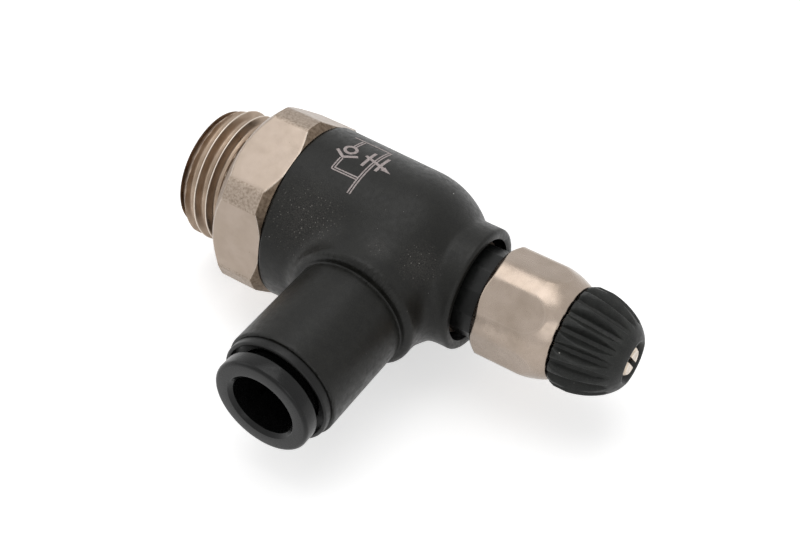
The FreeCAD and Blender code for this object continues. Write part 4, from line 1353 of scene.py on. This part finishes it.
@dataclass
class EndRing:
    """Ring that closes the branch and guides the collet."""

    start: float = 17.0
    branch_end: float = 19.1
    face: float = 20.0
    outer_r: float = 5.25
    spigot_r: float = 4.74
    bore_r: float = 4.0
    recess_r: float = 4.9
    floor: float = 19.27
    edge: float = 0.18
    cone: float = 0.375
    steps: int = 144
    body: str = "banjo"

    def build(self) -> list[bpy.types.Object]:
        """Builds and dresses the ring."""
        corners: list[Fillet] = [(self.start, self.bore_r + self.cone, 0)]
        corners.append((self.start, self.spigot_r, 0))
        corners += [(self.branch_end, self.spigot_r, 0), (self.branch_end, self.outer_r, 0.08)]
        corners += [(self.face, self.outer_r, self.edge), (self.face, self.recess_r, 0.08)]
        corners += [(self.floor, self.recess_r, 0), (self.floor, self.bore_r, 0.06)]
        corners += [(self.start + self.cone, self.bore_r, 0)]
        bm = turned(rounded(corners), TurningAxis.BRANCH, self.steps)
        ring = store(bm, "branch_cap_ring", 40.0)
        dress(ring, END_RING_POLYMER.build())
        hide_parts("branch_end_ring")
        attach(ring, self.body)
        return [ring]


@dataclass
class ReleaseCollet:
    """Collet that is pressed in to let the tube go: slit fingers, barrel and broad flange."""

    start: float = 16.0
    head_r: float = 4.4
    head_length: float = 0.6
    barrel_r: float = 3.85
    back: float = 20.5
    front: float = 22.1
    flange_r: float = 4.8
    flange_round: float = 0.35
    bore_r: float = 3.06
    mouth: float = 0.34
    claw: tuple[float, float, float] = (16.34, 16.66, 3.51)
    slit_width: float = 0.6
    slit_end: float = 19.4
    steps: int = 144
    body: str = "release_collet"

    def outline(self) -> list[Corner]:
        """Closed outline of the collet before its slits."""
        ramp = self.head_r - self.barrel_r
        first, last, claw_r = self.claw
        corners: list[Fillet] = [(self.start, self.bore_r, 0), (self.start, self.head_r, 0.08)]
        corners += [(self.start + self.head_length, self.head_r, 0.08)]
        corners += [(self.start + self.head_length + ramp, self.barrel_r, 0)]
        corners += [(self.back, self.barrel_r, 0.05), (self.back, self.flange_r, 0.18)]
        corners += [(self.front, self.flange_r, self.flange_round)]
        corners.append((self.front, self.bore_r + self.mouth, 0.1))
        corners.append((self.front - self.mouth, self.bore_r, 0.1))
        corners += [(last, self.bore_r, 0), (last, claw_r, 0)]
        corners += [(first, claw_r, 0), (first, self.bore_r, 0)]
        return rounded(corners)

    def slit(self, turn_deg: float) -> bmesh.types.BMesh:
        """Cutter of the two slits that face each other across the collet."""
        bm = bmesh.new()
        length = self.slit_end - self.start + 1.0
        middle = (self.start - 1.0 + self.slit_end) / 2
        place = (
            Matrix.Translation((BRANCH_X, -middle, 0))
            @ Matrix.Rotation(math.radians(turn_deg), 4, "Y")
            @ Matrix.Diagonal((12.0, length, self.slit_width, 1.0))
        )
        bmesh.ops.create_cube(bm, size=1.0, matrix=place)
        return bm

    def build(self) -> list[bpy.types.Object]:
        """Builds and dresses the collet."""
        collet = store(turned(self.outline(), TurningAxis.BRANCH, self.steps), "push_collet", 40.0)
        collet = cut_away(collet, [self.slit(45), self.slit(135)])
        dress(collet, COLLET_POLYMER.build())
        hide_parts("collet")
        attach(collet, self.body)
        return [collet]


@dataclass
class InnerParts:
    """Seals, rings, seat and spindle, which keep their CAD shapes and get real finishes."""

    finishes: dict[str, PlainMetal | Elastomer | Nylon | MouldedPolymer] = field(
        default_factory=lambda: dict(INNER_FINISHES)
    )

    def build(self) -> list[bpy.types.Object]:
        """Dresses the CAD nodes that stay."""
        made: dict[str, bpy.types.Material] = {}
        nodes = []
        for name, finish in self.finishes.items():
            if finish.name not in made:
                made[finish.name] = finish.build()
            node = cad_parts[name]
            for slot in node.material_slots:
                slot.material = made[finish.name]
            nodes.append(node)
        return nodes


# ---------------------------------------------------------------- room


@dataclass
class Studio:
    """Pale floor, soft lamps, and the camera."""

    floor_size: float = 1.2
    floor_glow: float = 0.55
    camera_at: tuple[float, float, float] = (0.06728, -0.08421, 0.09741)
    right: tuple[float, float, float] = (0.8387, 0.5441, 0.0232)
    up: tuple[float, float, float] = (-0.3991, 0.5852, 0.7059)
    back: tuple[float, float, float] = (0.3705, -0.6013, 0.7080)
    lens: float = 67.5
    sensor_width: float = 36.0
    clip_start: float = 0.005
    world_light: float = 0.4
    aim: tuple[float, float, float] = (0.017, -0.006, 0.0)
    lamps: tuple[tuple[str, tuple[float, float, float], float, float], ...] = (
        ("top_softbox", (-0.02, 0.05, 0.35), 0.3, 0.42),
        ("front_softbox", (0.25, -0.3, 0.2), 0.25, 0.16),
        ("side_softbox", (-0.3, -0.1, 0.2), 0.25, 0.12),
    )

    def build_floor(self) -> None:
        """Floor just under the valve."""
        bm = bmesh.new()
        bmesh.ops.create_grid(bm, x_segments=1, y_segments=1, size=self.floor_size / MM / 2)
        underside = CAD_BOX[0][2] / MM
        bmesh.ops.translate(bm, verts=bm.verts, vec=(15.0, -6.0, underside))
        floor = store(bm, "floor")
        w = Wiring("pale_floor")
        cloud = w.ramp(w.noise(60.0, 2.0), 0.3, 0.7)
        w.join(w.mix(cloud, (0.9, 0.9, 0.9), (0.94, 0.94, 0.94)), w.shader.inputs["Base Color"])
        w.shader.inputs["Roughness"].default_value = 0.9
        w.shader.inputs["Specular IOR Level"].default_value = 0.1
        dress(floor, w.material)
        self.whiten(w)

    def whiten(self, w: Wiring) -> None:
        """Adds plain white for camera, glossy and transmission rays, keeping the shadow."""
        path = w.add("ShaderNodeLightPath")
        seen = w.math("MAXIMUM", path.outputs["Is Camera Ray"], path.outputs["Is Glossy Ray"])
        seen = w.math("MAXIMUM", seen, path.outputs["Is Transmission Ray"])
        w.shader.inputs["Emission Color"].default_value = (1, 1, 1, 1)
        glow = w.math("MULTIPLY", seen, self.floor_glow)
        w.join(glow, w.shader.inputs["Emission Strength"])

    def build_world(self) -> None:
        """Even pale light all round, plain white where it is seen."""
        world = bpy.data.worlds.new("studio_air")
        bpy.context.scene.world = world
        world.use_nodes = True
        tree = world.node_tree
        tree.nodes.clear()
        output = tree.nodes.new("ShaderNodeOutputWorld")
        light = tree.nodes.new("ShaderNodeBackground")
        light.inputs["Color"].default_value = (1, 1, 1, 1)
        light.inputs["Strength"].default_value = self.world_light
        white = tree.nodes.new("ShaderNodeBackground")
        white.inputs["Color"].default_value = (1, 1, 1, 1)
        white.inputs["Strength"].default_value = 1.0
        path = tree.nodes.new("ShaderNodeLightPath")
        seen = path.outputs["Is Camera Ray"]
        for ray in ("Is Glossy Ray", "Is Transmission Ray"):
            larger = tree.nodes.new("ShaderNodeMath")
            larger.operation = "MAXIMUM"
            tree.links.new(seen, larger.inputs[0])
            tree.links.new(path.outputs[ray], larger.inputs[1])
            seen = larger.outputs["Value"]
        blend = tree.nodes.new("ShaderNodeMixShader")
        tree.links.new(seen, blend.inputs["Fac"])
        tree.links.new(light.outputs["Background"], blend.inputs[1])
        tree.links.new(white.outputs["Background"], blend.inputs[2])
        tree.links.new(blend.outputs["Shader"], output.inputs["Surface"])

    def lamp(self, name: str, at: Vector, aim: Vector, size: float, watts: float) -> None:
        """Adds one square soft lamp.

        Args:
            name: Name of the lamp.
            at: Place of the lamp, in metres.
            aim: Point it faces.
            size: Side of the lamp, in metres.
            watts: Power.
        """
        data = bpy.data.lights.new(name, "AREA")
        data.shape = "SQUARE"
        data.size = size
        data.energy = watts
        lamp = bpy.data.objects.new(name, data)
        lamp.location = at
        lamp.rotation_euler = (aim - at).to_track_quat("-Z", "Y").to_euler()
        bpy.context.scene.collection.objects.link(lamp)

    def build_camera(self) -> None:
        """Places the camera."""
        data = bpy.data.cameras.new("camera")
        data.lens = self.lens
        data.sensor_width = self.sensor_width
        data.clip_start = self.clip_start
        camera = bpy.data.objects.new("camera", data)
        axes = Matrix((self.right, self.up, self.back)).transposed().to_4x4()
        camera.matrix_world = Matrix.Translation(self.camera_at) @ axes
        bpy.context.scene.collection.objects.link(camera)
        bpy.context.scene.camera = camera

    def build(self) -> None:
        """Sets up the whole room."""
        bpy.context.scene.view_settings.view_transform = "Standard"
        self.build_camera()
        self.build_world()
        self.build_floor()
        for name, place, size, watts in self.lamps:
            self.lamp(name, Vector(place), Vector(self.aim), size, watts)


def main() -> None:
    """Builds every sub-assembly in order and reports its pieces."""
    logging.basicConfig(level=logging.INFO, format="%(message)s")
    Studio().build()
    for assembly in (
        ThreadedStem(),
        SwivelBody(),
        FlowSymbol(),
        EndRing(),
        ReleaseCollet(),
        BonnetSleeve(),
        LockNut(),
        Knob(),
        InnerParts(),
    ):
        for piece in assembly.build():
            log.info("%s: %d faces", piece.name, len(piece.data.polygons))


if __name__ == "__main__":
    main()
